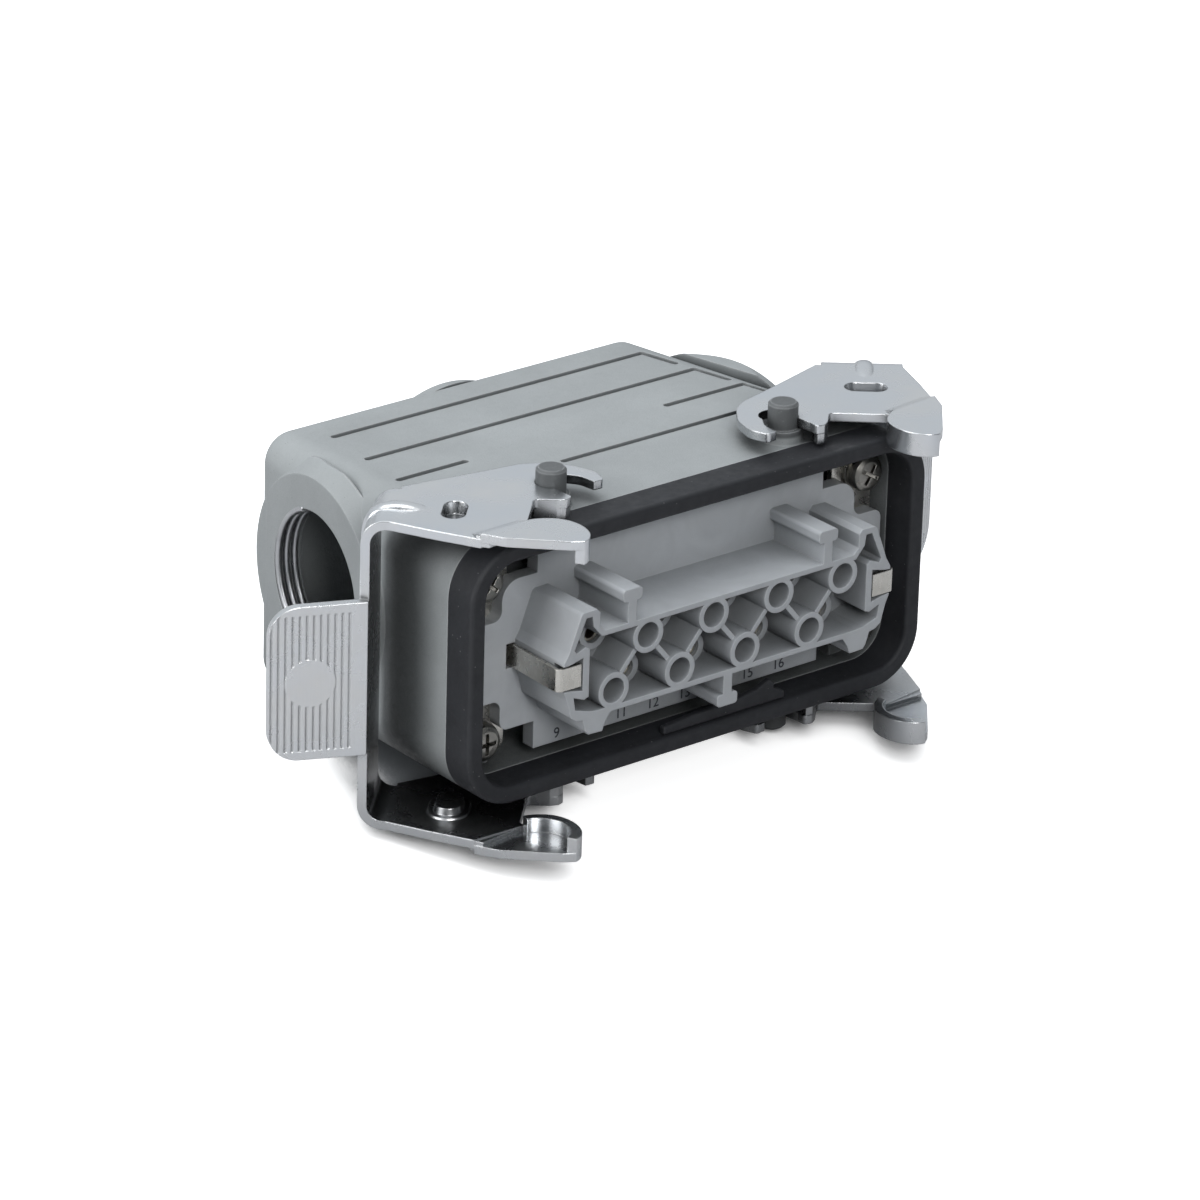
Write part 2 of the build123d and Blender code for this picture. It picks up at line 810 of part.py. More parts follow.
    # Grip grooves on the tab's front side, a smooth round spot left in the middle
    tab_front = Plane(
        origin=tuple(root - flat),
        x_dir=tuple(reach.normalized()),
        z_dir=tuple(-flat.normalized()),
    )
    with BuildSketch(tab_front) as grip:
        with Locations((tab_length / 2 + 0.6, 0)):
            with GridLocations(1.12, 1, grip_grooves, 1):
                Rectangle(0.45, 2 * tab_half - 3.0)
            Circle(4.0, mode=Mode.SUBTRACT)
    extrude(amount=-0.25, mode=Mode.SUBTRACT)
    # Half round ribs pressed outward over the bends, sinking into the sheet at both ends
    bend_x = web_outer - bend_radius
    bend_z = arm_outer - bend_radius
    rib_path_radius = bend_radius - 0.1
    for side in (1, -1):
        with BuildLine(Plane.XZ.offset(-dimple_y)) as rib_path:
            Spline(
                (17.9, side * (arm_outer - 0.7)),
                (20.0, side * (arm_outer - 0.15)),
                (bend_x, side * (arm_outer - 0.1)),
                (bend_x + rib_path_radius * cos(radians(45)), side * (bend_z + rib_path_radius * sin(radians(45)))),
                (web_outer - 0.1, side * bend_z),
                (web_outer - 0.15, side * (arm_outer - 7.0)),
                (web_outer - 0.7, side * (arm_outer - 9.1)),
            )
        with BuildSketch(Plane(rib_path.line @ 0, x_dir=(0, 1, 0), z_dir=rib_path.line % 0)) as rib_section:
            Ellipse(rib_half_width, rib_half_height)
        sweep()

lever_right = lever_form.part.rotate(Axis.Z, right_open).moved(Location((peg_x, peg_y, -lever_drop)))
lever_right.label = "lever_right"
export_step(lever_right, "parts/lever_right.step")

lever_left = (
    mirror(lever_form.part, about=Plane.YZ)
    .rotate(Axis.Z, -left_open)
    .moved(Location((-peg_x, peg_y, -lever_drop)))
)
lever_left.label = "lever_left"
export_step(lever_left, "parts/lever_left.step")
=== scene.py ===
import json
import math

import bmesh
import bpy
from mathutils import Matrix, Vector


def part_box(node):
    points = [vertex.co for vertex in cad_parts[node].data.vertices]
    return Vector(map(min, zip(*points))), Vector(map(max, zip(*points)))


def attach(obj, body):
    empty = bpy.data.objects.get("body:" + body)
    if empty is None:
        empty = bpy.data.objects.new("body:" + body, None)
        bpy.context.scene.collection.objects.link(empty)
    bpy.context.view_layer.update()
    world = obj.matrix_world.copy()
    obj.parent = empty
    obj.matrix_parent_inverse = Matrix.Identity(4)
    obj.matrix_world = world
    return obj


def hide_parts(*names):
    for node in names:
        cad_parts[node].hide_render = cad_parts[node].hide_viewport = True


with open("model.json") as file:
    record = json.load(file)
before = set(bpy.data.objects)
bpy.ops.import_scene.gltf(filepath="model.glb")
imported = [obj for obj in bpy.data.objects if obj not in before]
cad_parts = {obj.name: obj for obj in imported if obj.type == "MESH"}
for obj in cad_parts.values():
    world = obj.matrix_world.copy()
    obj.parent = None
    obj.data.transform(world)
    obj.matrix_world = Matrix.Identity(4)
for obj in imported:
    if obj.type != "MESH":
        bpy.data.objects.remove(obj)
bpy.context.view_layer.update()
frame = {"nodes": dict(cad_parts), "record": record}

bl_info = {
    "name": "Rectangular connector looks",
    "version": (1, 0, 0),
    "blender": (4, 5, 0),
    "location": "View3D > Sidebar > Connector",
    "description": "Materials and fine pieces for a cable hood with a socket insert and side levers",
    "category": "Object",
}

MM = 0.001

# Camera of the photograph, in metres and degrees
CAMERA_PLACE = (-0.63059, -0.73906, 0.42632)
CAMERA_TURN = (66.42790, -1.49908, -38.86006)
CAMERA_LENS = 201.8

# Lamps with their place, what they point at, their side in metres and their power in watts
LAMPS = (
    ("top_softbox", (-0.12, 0.16, 0.75), (0.0, 0.02, 0.0), 0.55, 1.75),
    ("left_softbox", (-0.80, 0.10, 0.30), (0.0, 0.0, 0.0), 0.50, 2.7),
    ("front_softbox", (-0.35, -0.75, 0.45), (0.0, 0.0, 0.0), 0.35, 3.5),
)

# Floor: half its side, its tilt in degrees, the y and z of its middle line,
# and the middle of the patch that the hood's left end shades
FLOOR_HALF = 3.0
FLOOR_TILT = 7.55
FLOOR_Y, FLOOR_Z = 0.01215, -0.02830
SHADED_PATCH = (-0.038, 0.028, -0.0263)

# Distance from the hood's middle height at which the casting turns from face to peg
PEG_FOOT, PEG_START = 0.0229, 0.0233

# Entry thread: the boss's face past the mount, and the plain length before the first turn
FACE_PAST_MOUNT = 0.0030
THREAD_LEAD_IN = 0.0004

# Back boss as (radius, y) pairs, and the x and z of its middle, in millimetres
BACK_BOSS_PROFILE = ((0, 62.33), (18.3, 62.33), (18.7, 62.22), (18.95, 61.9), (19.6, 59.3), (0, 59.3))
BACK_BOSS_X, BACK_BOSS_Z = -4.0, 1.8
BACK_BOSS_STEPS = 120

# Fold on the seal's lower inner edge as (x, z) pairs, with its front and back, in millimetres
FOLD_OUTLINE = (
    (-6.4, -18.9), (18.6, -18.9), (18.6, -17.7), (16.2, -16.5), (16.6, -15.9),
    (15.4, -14.9), (12.8, -16.0), (7.2, -16.9), (0.8, -16.9), (-6.4, -17.6))
FOLD_FRONT, FOLD_BACK = 0.9, 2.0
FOLD_SOFTNESS = 0.00022

# Pole numbers: the first, how many, the middle of their row and the ink's height
FIRST_NUMBER = 9
NUMBER_COUNT = 8
NUMBER_ROW = (-0.0017, 0.005575, -0.0154)
INK_HEIGHT = 0.00003

# Fixing screws in millimetres, and the turn from one to the next in radians
HEAD_RADIUS = 3.2
HEAD_HEIGHT = 2.4
SCREW_PROFILE = (
    (0, 0.0), (1.2, 0.02), (2.2, 0.16), (2.85, 0.55), (3.15, 1.2), (3.2, 1.9), (3.1, 2.4),
    (1.65, 2.4), (1.65, 12.6), (1.2, 12.9), (0, 12.9))
RECESS_OUTLINE = ((-2.0, -0.5), (2.0, -0.5), (1.75, 0.5), (0.75, 1.7), (-0.75, 1.7), (-1.75, 0.5))
RECESS_HALF = 0.33
SCREW_TURN = 0.7

# Spring washers in millimetres, with the gap in degrees, and the turn from one to the next in radians
WASHER_SECTION = ((2.05, 0.04), (3.45, 0.04), (3.5, 0.76), (2.05, 0.76))
WASHER_STEPS = 44
WASHER_GAP = 11
WASHER_LIFT = 0.032
WASHER_TURN = 1.3


# Values a user would change


class ConnectorHousingSettings(bpy.types.PropertyGroup):
    paint_colour: bpy.props.FloatVectorProperty(
        name="Paint colour", description="Colour of the painted casting",
        subtype="COLOR", size=3, min=0, max=1, default=(0.400, 0.425, 0.432))
    # The pegs' colour is their own darker finish, set darker still as painted shade on their sides.
    peg_colour_and_shade: bpy.props.FloatVectorProperty(
        name="Peg colour", description="Colour of the thinly painted pegs",
        subtype="COLOR", size=3, min=0, max=1, default=(0.130, 0.138, 0.142))
    paint_roughness: bpy.props.FloatProperty(
        name="Paint roughness", description="Roughness of the paint",
        subtype="FACTOR", min=0, max=1, default=0.46)
    grain_depth: bpy.props.FloatProperty(
        name="Grain depth", description="Height of the paint's fine grain",
        unit="LENGTH", default=0.00007)
    thread_pitch: bpy.props.FloatProperty(
        name="Thread pitch", description="Distance from turn to turn in the cable entry",
        unit="LENGTH", default=0.0015)
    thread_radius: bpy.props.FloatProperty(
        name="Thread radius", description="Radius at the root of the entry's thread",
        unit="LENGTH", default=0.0125)
    thread_depth: bpy.props.FloatProperty(
        name="Thread depth", description="Height of the thread's ridge", unit="LENGTH", default=0.00075)
    thread_turns: bpy.props.FloatProperty(
        name="Thread turns", description="Turns of thread in the entry", default=2.7)


class ConnectorLeverSettings(bpy.types.PropertyGroup):
    zinc_colour: bpy.props.FloatVectorProperty(
        name="Zinc colour", description="Colour of the plated sheet",
        subtype="COLOR", size=3, min=0, max=1, default=(0.815, 0.832, 0.852))
    zinc_roughness: bpy.props.FloatProperty(
        name="Zinc roughness", description="Roughness of the plated sheet",
        subtype="FACTOR", min=0, max=1, default=0.23)


class ConnectorInsertSettings(bpy.types.PropertyGroup):
    moulding_colour: bpy.props.FloatVectorProperty(
        name="Moulding colour", description="Colour of the insert",
        subtype="COLOR", size=3, min=0, max=1, default=(0.535, 0.560, 0.585))
    ink_colour: bpy.props.FloatVectorProperty(
        name="Ink colour", description="Colour of the pole numbers",
        subtype="COLOR", size=3, min=0, max=1, default=(0.045, 0.048, 0.060))
    number_size: bpy.props.FloatProperty(
        name="Number size", description="Height of the pole numbers", unit="LENGTH", default=0.0025)
    pole_pitch: bpy.props.FloatProperty(
        name="Pole pitch", description="Distance between poles", unit="LENGTH", default=0.00652)
    rubber_colour: bpy.props.FloatVectorProperty(
        name="Rubber colour", description="Colour of the rim seal",
        subtype="COLOR", size=3, min=0, max=1, default=(0.016, 0.0172, 0.0205))


# Node helpers


def put(tree, kind, at=(0, 0), settings=None, **values):
    """Adds a node with its place, its settings and the values of its sockets."""
    made = tree.nodes.new(kind)
    made.location = at
    for name, value in (settings or {}).items():
        setattr(made, name, value)
    for name, value in values.items():
        made.inputs[name.replace("_", " ")].default_value = value
    return made


def join(tree, source, target):
    tree.links.new(source, target)


def add_inputs(tree, inputs):
    for label, kind, value in inputs:
        socket = tree.interface.new_socket(name=label, in_out="INPUT", socket_type=kind)
        if value is not None:
            socket.default_value = value


def shader_group(name, inputs, outputs):
    """A node group for shaders, with its inputs as (label, kind, value) and its outputs as (label, kind)."""
    tree = bpy.data.node_groups.new(name, "ShaderNodeTree")
    add_inputs(tree, inputs)
    for label, kind in outputs:
        tree.interface.new_socket(name=label, in_out="OUTPUT", socket_type=kind)
    start = tree.nodes.new("NodeGroupInput")
    start.location = (-900, 0)
    end = tree.nodes.new("NodeGroupOutput")
    end.location = (700, 0)
    return tree, start, end


# Effects that several materials share


def grain_effect():
    """Fine and coarse noise, and their sum as a height."""
    tree, start, end = shader_group(
        "surface_grain",
        [("Vector", "NodeSocketVector", None), ("Fine Scale", "NodeSocketFloat", 3200.0),
         ("Coarse Scale", "NodeSocketFloat", 700.0), ("Coarse Share", "NodeSocketFloat", 0.35)],
        [("Height", "NodeSocketFloat"), ("Fine", "NodeSocketFloat"), ("Coarse", "NodeSocketFloat")])
    fine = put(tree, "ShaderNodeTexNoise", (-600, 150), Detail=3.0, Roughness=0.6)
    coarse = put(tree, "ShaderNodeTexNoise", (-600, -150), Detail=4.0, Roughness=0.55)
    mixed = put(tree, "ShaderNodeMix", (-200, 0), {"data_type": "FLOAT"})
    join(tree, start.outputs["Vector"], fine.inputs["Vector"])
    join(tree, start.outputs["Vector"], coarse.inputs["Vector"])
    join(tree, start.outputs["Fine Scale"], fine.inputs["Scale"])
    join(tree, start.outputs["Coarse Scale"], coarse.inputs["Scale"])
    join(tree, start.outputs["Coarse Share"], mixed.inputs[0])
    join(tree, fine.outputs[0], mixed.inputs[2])
    join(tree, coarse.outputs[0], mixed.inputs[3])
    join(tree, mixed.outputs[0], end.inputs["Height"])
    join(tree, fine.outputs[0], end.inputs["Fine"])
    join(tree, coarse.outputs[0], end.inputs["Coarse"])
    return tree


def edge_effect():
    """White along outer edges, broken up by noise: worn edges, and on the zinc also a painted highlight."""
    tree, start, end = shader_group(
        "edge_wear_and_sheen",
        [("Vector", "NodeSocketVector", None), ("Radius", "NodeSocketFloat", 0.0004),
         ("Gain", "NodeSocketFloat", 6.0), ("Break Scale", "NodeSocketFloat", 900.0)],
        [("Mask", "NodeSocketFloat")])
    soft = put(tree, "ShaderNodeBevel", (-600, 150), {"samples": 4})
    hard = put(tree, "ShaderNodeNewGeometry", (-600, -100))
    dot = put(tree, "ShaderNodeVectorMath", (-400, 50), {"operation": "DOT_PRODUCT"})
    apart = put(tree, "ShaderNodeMath", (-200, 50), {"operation": "SUBTRACT"})
    apart.inputs[0].default_value = 1.0
    strong = put(tree, "ShaderNodeMath", (0, 50), {"operation": "MULTIPLY"})
    noise = put(tree, "ShaderNodeTexNoise", (-400, -250), Detail=3.0, Roughness=0.7)
    broken = put(tree, "ShaderNodeMath", (200, 0), {"operation": "MULTIPLY", "use_clamp": True})
    join(tree, start.outputs["Radius"], soft.inputs["Radius"])
    join(tree, soft.outputs[0], dot.inputs[0])
    join(tree, hard.outputs["Normal"], dot.inputs[1])
    join(tree, dot.outputs["Value"], apart.inputs[1])
    join(tree, apart.outputs[0], strong.inputs[0])
    join(tree, start.outputs["Gain"], strong.inputs[1])
    join(tree, start.outputs["Vector"], noise.inputs["Vector"])
    join(tree, start.outputs["Break Scale"], noise.inputs["Scale"])
    join(tree, strong.outputs[0], broken.inputs[0])
    join(tree, noise.outputs[0], broken.inputs[1])
    join(tree, broken.outputs[0], end.inputs["Mask"])
    return tree


def speck_effect():
    """Small separate spots, as dust or pits."""
    tree, start, end = shader_group(
        "specks",
        [("Vector", "NodeSocketVector", None), ("Scale", "NodeSocketFloat", 900.0),
         ("Amount", "NodeSocketFloat", 0.16)],
        [("Mask", "NodeSocketFloat")])
    cells = put(tree, "ShaderNodeTexVoronoi", (-600, 100))
    patches = put(tree, "ShaderNodeTexNoise", (-600, -200), Detail=2.0)
    patches.inputs["Scale"].default_value = 160.0
    size = put(tree, "ShaderNodeMath", (-400, -100), {"operation": "MULTIPLY"})
    spot = put(tree, "ShaderNodeMath", (-200, 50), {"operation": "LESS_THAN"})
    join(tree, start.outputs["Vector"], cells.inputs["Vector"])
    join(tree, start.outputs["Vector"], patches.inputs["Vector"])
    join(tree, start.outputs["Scale"], cells.inputs["Scale"])
    join(tree, patches.outputs[0], size.inputs[0])
    join(tree, start.outputs["Amount"], size.inputs[1])
    join(tree, cells.outputs["Distance"], spot.inputs[0])
    join(tree, size.outputs[0], spot.inputs[1])
    join(tree, spot.outputs[0], end.inputs["Mask"])
    return tree


def streak_effect():
    """Long thin streaks along Z with soft clouds under them, as rolling and plating leave."""
    tree, start, end = shader_group(
        "rolled_streaks",
        [("Vector", "NodeSocketVector", None), ("Across Scale", "NodeSocketFloat", 5200.0),
         ("Along Scale", "NodeSocketFloat", 160.0), ("Cloud Scale", "NodeSocketFloat", 70.0)],
        [("Streaks", "NodeSocketFloat"), ("Clouds", "NodeSocketFloat")])
    parts = put(tree, "ShaderNodeSeparateXYZ", (-700, 100))
    packed = put(tree, "ShaderNodeCombineXYZ", (-350, 100))
    for row, name in enumerate(("X", "Y", "Z")):
        scaled = put(tree, "ShaderNodeMath", (-520, 200 - 130 * row), {"operation": "MULTIPLY"})
        join(tree, parts.outputs[name], scaled.inputs[0])
        source = "Along Scale" if name == "Z" else "Across Scale"
        join(tree, start.outputs[source], scaled.inputs[1])
        join(tree, scaled.outputs[0], packed.inputs[name])
    lines = put(tree, "ShaderNodeTexNoise", (-150, 100), Scale=1.0, Detail=3.0, Roughness=0.6)
    clouds = put(tree, "ShaderNodeTexNoise", (-150, -200), Detail=5.0, Roughness=0.6)
    join(tree, start.outputs["Vector"], parts.inputs[0])
    join(tree, packed.outputs[0], lines.inputs["Vector"])
    join(tree, start.outputs["Vector"], clouds.inputs["Vector"])
    join(tree, start.outputs["Cloud Scale"], clouds.inputs["Scale"])
    join(tree, lines.outputs[0], end.inputs["Streaks"])
    join(tree, clouds.outputs[0], end.inputs["Clouds"])
    return tree


def painted_shade_effect():
    """White in corners and hollows that little light reaches, with a soft uneven border; the materials paint
    shade there.
    """
    tree, start, end = shader_group(
        "shared_painted_shade",
        [("Vector", "NodeSocketVector", None), ("Reach", "NodeSocketFloat", 0.03),
         ("Shut", "NodeSocketFloat", 0.1), ("Open", "NodeSocketFloat", 0.8)],
        [("Mask", "NodeSocketFloat")])
    reached = put(tree, "ShaderNodeAmbientOcclusion", (-600, 100), {"samples": 10})
    noise = put(tree, "ShaderNodeTexNoise", (-600, -150), Scale=300.0, Detail=3.0)
    uneven = put(tree, "ShaderNodeMath", (-400, -150), {"operation": "MULTIPLY_ADD"})
    uneven.inputs[1].default_value = 0.04
    ranged = put(tree, "ShaderNodeMapRange", (0, 0))
    ranged.inputs[3].default_value = 1.0
    ranged.inputs[4].default_value = 0.0
    join(tree, start.outputs["Vector"], noise.inputs["Vector"])
    join(tree, start.outputs["Reach"], reached.inputs["Distance"])
    join(tree, noise.outputs[0], uneven.inputs[0])
    join(tree, reached.outputs["AO"], uneven.inputs[2])
    join(tree, uneven.outputs[0], ranged.inputs[0])
    join(tree, start.outputs["Shut"], ranged.inputs[1])
    join(tree, start.outputs["Open"], ranged.inputs[2])
    join(tree, ranged.outputs[0], end.inputs["Mask"])
    return tree


EFFECTS = {
    "grain": grain_effect,
    "edge": edge_effect,
    "specks": speck_effect,
    "streaks": streak_effect,
    "painted_shade": painted_shade_effect,
}
made_effects = {}


def effect(tree, name, coordinates, at, **values):
    """Adds a shared effect to a material's tree, and makes the effect at its first use."""
    if name not in made_effects:
        made_effects[name] = EFFECTS[name]()
    node = put(tree, "ShaderNodeGroup", at, {"node_tree": made_effects[name]}, **values)
    join(tree, coordinates, node.inputs["Vector"])
    return node


def finish_base(name):
    """An empty material with its shader, its coordinates and a tree to work in."""
    material = bpy.data.materials.new(name)
    material.use_nodes = True
    tree = material.node_tree
    tree.nodes.clear()
    out = put(tree, "ShaderNodeOutputMaterial", (900, 0))
    shader = put(tree, "ShaderNodeBsdfPrincipled", (600, 0))
    place = put(tree, "ShaderNodeTexCoord", (-900, 0))
    join(tree, shader.outputs[0], out.inputs[0])
    return material, tree, shader, place.outputs["Object"]


def times(colour, share):
    return tuple(min(1.0, share * part) for part in colour)


def blend_colour(tree, factor, first, second, at):
    """Mixes two colours by a factor, each of them a socket or a plain value."""
    mixed = put(tree, "ShaderNodeMix", at, {"data_type": "RGBA"})
    for index, value in ((0, factor), (6, first), (7, second)):
        if isinstance(value, bpy.types.NodeSocket):
            join(tree, value, mixed.inputs[index])
        elif index == 0:
            mixed.inputs[0].default_value = value
        else:
            mixed.inputs[index].default_value = (*value[:3], 1.0)
    return mixed.outputs[2]


def spread(tree, value, low, high, at, start=0.3, stop=0.7):
    """Stretches what lies between start and stop over low to high."""
    ranged = put(tree, "ShaderNodeMapRange", at)
    ranged.inputs[1].default_value = start
    ranged.inputs[2].default_value = stop
    ranged.inputs[3].default_value = low
    ranged.inputs[4].default_value = high
    join(tree, value, ranged.inputs[0])
    return ranged.outputs[0]


def for_camera(tree, ray, seen, unseen, out):
    """Gives the camera one shader, and light and reflections the other."""
    choose = put(tree, "ShaderNodeMixShader", (400, 0))
    join(tree, ray.outputs["Is Camera Ray"], choose.inputs[0])
    join(tree, unseen.outputs[0], choose.inputs[1])
    join(tree, seen.outputs[0], choose.inputs[2])
    join(tree, choose.outputs[0], out.inputs[0])


def bumped(tree, shader, height, distance, radius):
    """Rounds the edges a little and adds the fine relief on top."""
    rounded = put(tree, "ShaderNodeBevel", (100, -450), {"samples": 6}, Radius=radius)
    bump = put(tree, "ShaderNodeBump", (300, -300), Strength=1.0, Distance=distance)
    join(tree, height, bump.inputs["Height"])
    join(tree, rounded.outputs[0], bump.inputs["Normal"])
    join(tree, bump.outputs[0], shader.inputs["Normal"])


# Materials


def cast_paint():
    """Grey powder coat on a fine cast surface, darker on the pegs, partly as painted shade, and with painted
    shade in the hollows.
    """
    values = bpy.context.scene.connector_housing
    material, tree, shader, place = finish_base("grey_cast_paint")
    grain = effect(tree, "grain", place, (-650, 200), Fine_Scale=3600.0, Coarse_Scale=900.0, Coarse_Share=0.4)
    broad = put(tree, "ShaderNodeTexNoise", (-650, -100), Scale=45.0, Detail=4.0, Roughness=0.6)
    join(tree, place, broad.inputs["Vector"])
    wear_and_sheen = effect(tree, "edge", place, (-650, -350), Radius=0.0005, Gain=5.0)
    specks = effect(tree, "specks", place, (-650, -550), Scale=1100.0, Amount=0.13)
    height = put(tree, "ShaderNodeSeparateXYZ", (-650, 400))
    join(tree, place, height.inputs[0])
    away = put(tree, "ShaderNodeMath", (-480, 400), {"operation": "ABSOLUTE"})
    join(tree, height.outputs["Z"], away.inputs[0])
    peg = spread(tree, away.outputs[0], 0.0, 1.0, (-300, 400), PEG_FOOT, PEG_START)
    paint = tuple(values.paint_colour)
    tint = blend_colour(tree, spread(tree, broad.outputs[0], 0.0, 1.0, (-420, -100)),
                        times(paint, 0.90), times(paint, 1.10), (-250, 0))
    tint = blend_colour(tree, spread(tree, grain.outputs["Fine"], 0.0, 0.22, (-420, 150)), tint,
                        times(paint, 0.72), (-50, 100))
    # Pegs darker: partly their own finish, partly painted shade.
    tint = blend_colour(tree, peg, tint, tuple(values.peg_colour_and_shade), (120, 150))
    tint = blend_colour(tree, wear_and_sheen.outputs[0], tint, (0.62, 0.64, 0.65), (270, 100))
    tint = blend_colour(tree, specks.outputs[0], tint, times(paint, 0.62), (420, 100))
    # Painted shade: darker in corners, recesses and under the levers, from ambient occlusion.
    painted_shade_mask = effect(tree, "painted_shade", place, (-650, -750), Reach=0.024, Shut=0.10, Open=0.80)
    tint = blend_colour(tree, painted_shade_mask.outputs[0], tint, times(paint, 0.10), (520, 250))
    join(tree, tint, shader.inputs["Base Color"])
    rough = values.paint_roughness
    join(tree, spread(tree, grain.outputs["Coarse"], rough - 0.07, rough + 0.10, (200, -80)),
         shader.inputs["Roughness"])
    shader.inputs["Specular IOR Level"].default_value = 0.45
    bumped(tree, shader, grain.outputs["Height"], values.grain_depth, 0.00045)
    return material


def zinc_sheet():
    """Bright zinc plating: rolled streaks, cloudy passivation, paler edges that are partly wear and partly
    painted highlight, and painted shade in the hollows.
    """
    values = bpy.context.scene.connector_lever
    material, tree, shader, place = finish_base("bright_zinc_sheet")
    streaks = effect(tree, "streaks", place, (-650, 150))
    grain = effect(tree, "grain", place, (-650, -150),
                   Fine_Scale=5200.0, Coarse_Scale=420.0, Coarse_Share=0.3)
    wear_and_sheen = effect(tree, "edge", place, (-650, -400), Radius=0.0003, Gain=5.0)
    specks = effect(tree, "specks", place, (-650, -600), Scale=1100.0, Amount=0.025)
    zinc = tuple(values.zinc_colour)
    cool = (0.70, 0.74, 0.79)
    warm = (0.80, 0.79, 0.76)
    tint = blend_colour(tree, spread(tree, streaks.outputs["Clouds"], 0.0, 1.0, (-420, 200), 0.36, 0.64),
                        cool, warm, (-250, 150))
    tint = blend_colour(tree, 0.55, tint, zinc, (-80, 150))
    tint = blend_colour(tree, spread(tree, streaks.outputs["Streaks"], 0.0, 0.10, (-250, 0)), tint,
                        times(zinc, 0.70), (80, 100))
    # Paler edges: partly plating wear, partly a painted highlight.
    tint = blend_colour(tree, wear_and_sheen.outputs[0], tint, (0.96, 0.97, 0.98), (240, 100))
    tint = blend_colour(tree, specks.outputs[0], tint, (0.55, 0.57, 0.59), (400, 100))
    # Painted shade: darker in corners and on the inner faces near the hood.
    painted_shade_mask = effect(tree, "painted_shade", place, (-650, -800), Reach=0.035, Shut=0.30, Open=0.80)
    tint = blend_colour(tree, painted_shade_mask.outputs[0], tint, times(zinc, 0.32), (500, 250))
    join(tree, tint, shader.inputs["Base Color"])
    shader.inputs["Metallic"].default_value = 1.0
    rough = values.zinc_roughness
    join(tree, spread(tree, streaks.outputs["Clouds"], rough - 0.05, rough + 0.13, (200, -80)),
         shader.inputs["Roughness"])
    mixed = put(tree, "ShaderNodeMath", (0, -300), {"operation": "ADD"})
    join(tree, streaks.outputs["Streaks"], mixed.inputs[0])
    join(tree, grain.outputs["Height"], mixed.inputs[1])
    bumped(tree, shader, mixed.outputs[0], 0.000002, 0.00030)
    return material


def black_rubber():
    """Moulded black rubber with a dull bloom, fine pits and pale dust."""
    values = bpy.context.scene.connector_insert
    material, tree, shader, place = finish_base("black_moulded_rubber")
    grain = effect(tree, "grain", place, (-650, 200), Fine_Scale=4200.0, Coarse_Scale=500.0, Coarse_Share=0.5)
    dust = effect(tree, "specks", place, (-650, -100), Scale=700.0, Amount=0.11)
    wear_and_sheen = effect(tree, "edge", place, (-650, -350), Radius=0.0006, Gain=4.0)
    bloom = put(tree, "ShaderNodeTexNoise", (-650, -550), Scale=90.0, Detail=5.0, Roughness=0.65)
    join(tree, place, bloom.inputs["Vector"])
    rubber = tuple(values.rubber_colour)
    tint = blend_colour(tree, spread(tree, bloom.outputs[0], 0.0, 0.6, (-420, -500)), rubber,
                        times(rubber, 1.9), (-250, 100))
    tint = blend_colour(tree, wear_and_sheen.outputs[0], tint, (0.085, 0.088, 0.095), (0, 100))
    tint = blend_colour(tree, dust.outputs[0], tint, (0.16, 0.16, 0.165), (250, 100))
    join(tree, tint, shader.inputs["Base Color"])
    join(tree, spread(tree, grain.outputs["Coarse"], 0.50, 0.68, (200, -80)), shader.inputs["Roughness"])
    bumped(tree, shader, grain.outputs["Height"], 0.00003, 0.0003)
    return material


def grey_moulding():
    """Light grey filled plastic: satin, faintly mottled, with a slight glow in its thin walls and painted
    shade in its recesses.
    """
    values = bpy.context.scene.connector_insert
    material, tree, shader, place = finish_base("light_grey_moulding")
    grain = effect(tree, "grain", place, (-650, 200),
                   Fine_Scale=5200.0, Coarse_Scale=380.0, Coarse_Share=0.35)
    wear_and_sheen = effect(tree, "edge", place, (-650, -250), Radius=0.00035, Gain=5.0)
    specks = effect(tree, "specks", place, (-650, -450), Scale=1500.0, Amount=0.07)
    flow = put(tree, "ShaderNodeTexNoise", (-650, -50), Scale=120.0, Detail=3.0, Distortion=1.5)
    join(tree, place, flow.inputs["Vector"])
    grey = tuple(values.moulding_colour)
    tint = blend_colour(tree, spread(tree, flow.outputs[0], 0.0, 1.0, (-420, 0)), times(grey, 0.93),
                        times(grey, 1.05), (-250, 100))
    tint = blend_colour(tree, wear_and_sheen.outputs[0], tint, (0.68, 0.70, 0.73), (0, 100))
    tint = blend_colour(tree, specks.outputs[0], tint, times(grey, 0.7), (250, 100))
    # Painted shade: darker in recesses and corners.
    painted_shade_mask = effect(tree, "painted_shade", place, (-650, -650), Reach=0.016, Shut=0.06, Open=0.60)
    tint = blend_colour(tree, painted_shade_mask.outputs[0], tint, times(grey, 0.36), (420, 250))
    join(tree, tint, shader.inputs["Base Color"])
    join(tree, spread(tree, grain.outputs["Coarse"], 0.34, 0.50, (200, -80)), shader.inputs["Roughness"])
    shader.inputs["Subsurface Weight"].default_value = 0.12
    shader.inputs["Subsurface Radius"].default_value = (0.0006, 0.0006, 0.0007)
    shader.inputs["Subsurface Scale"].default_value = 1.0
    bumped(tree, shader, grain.outputs["Height"], 0.00002, 0.00028)
    return material


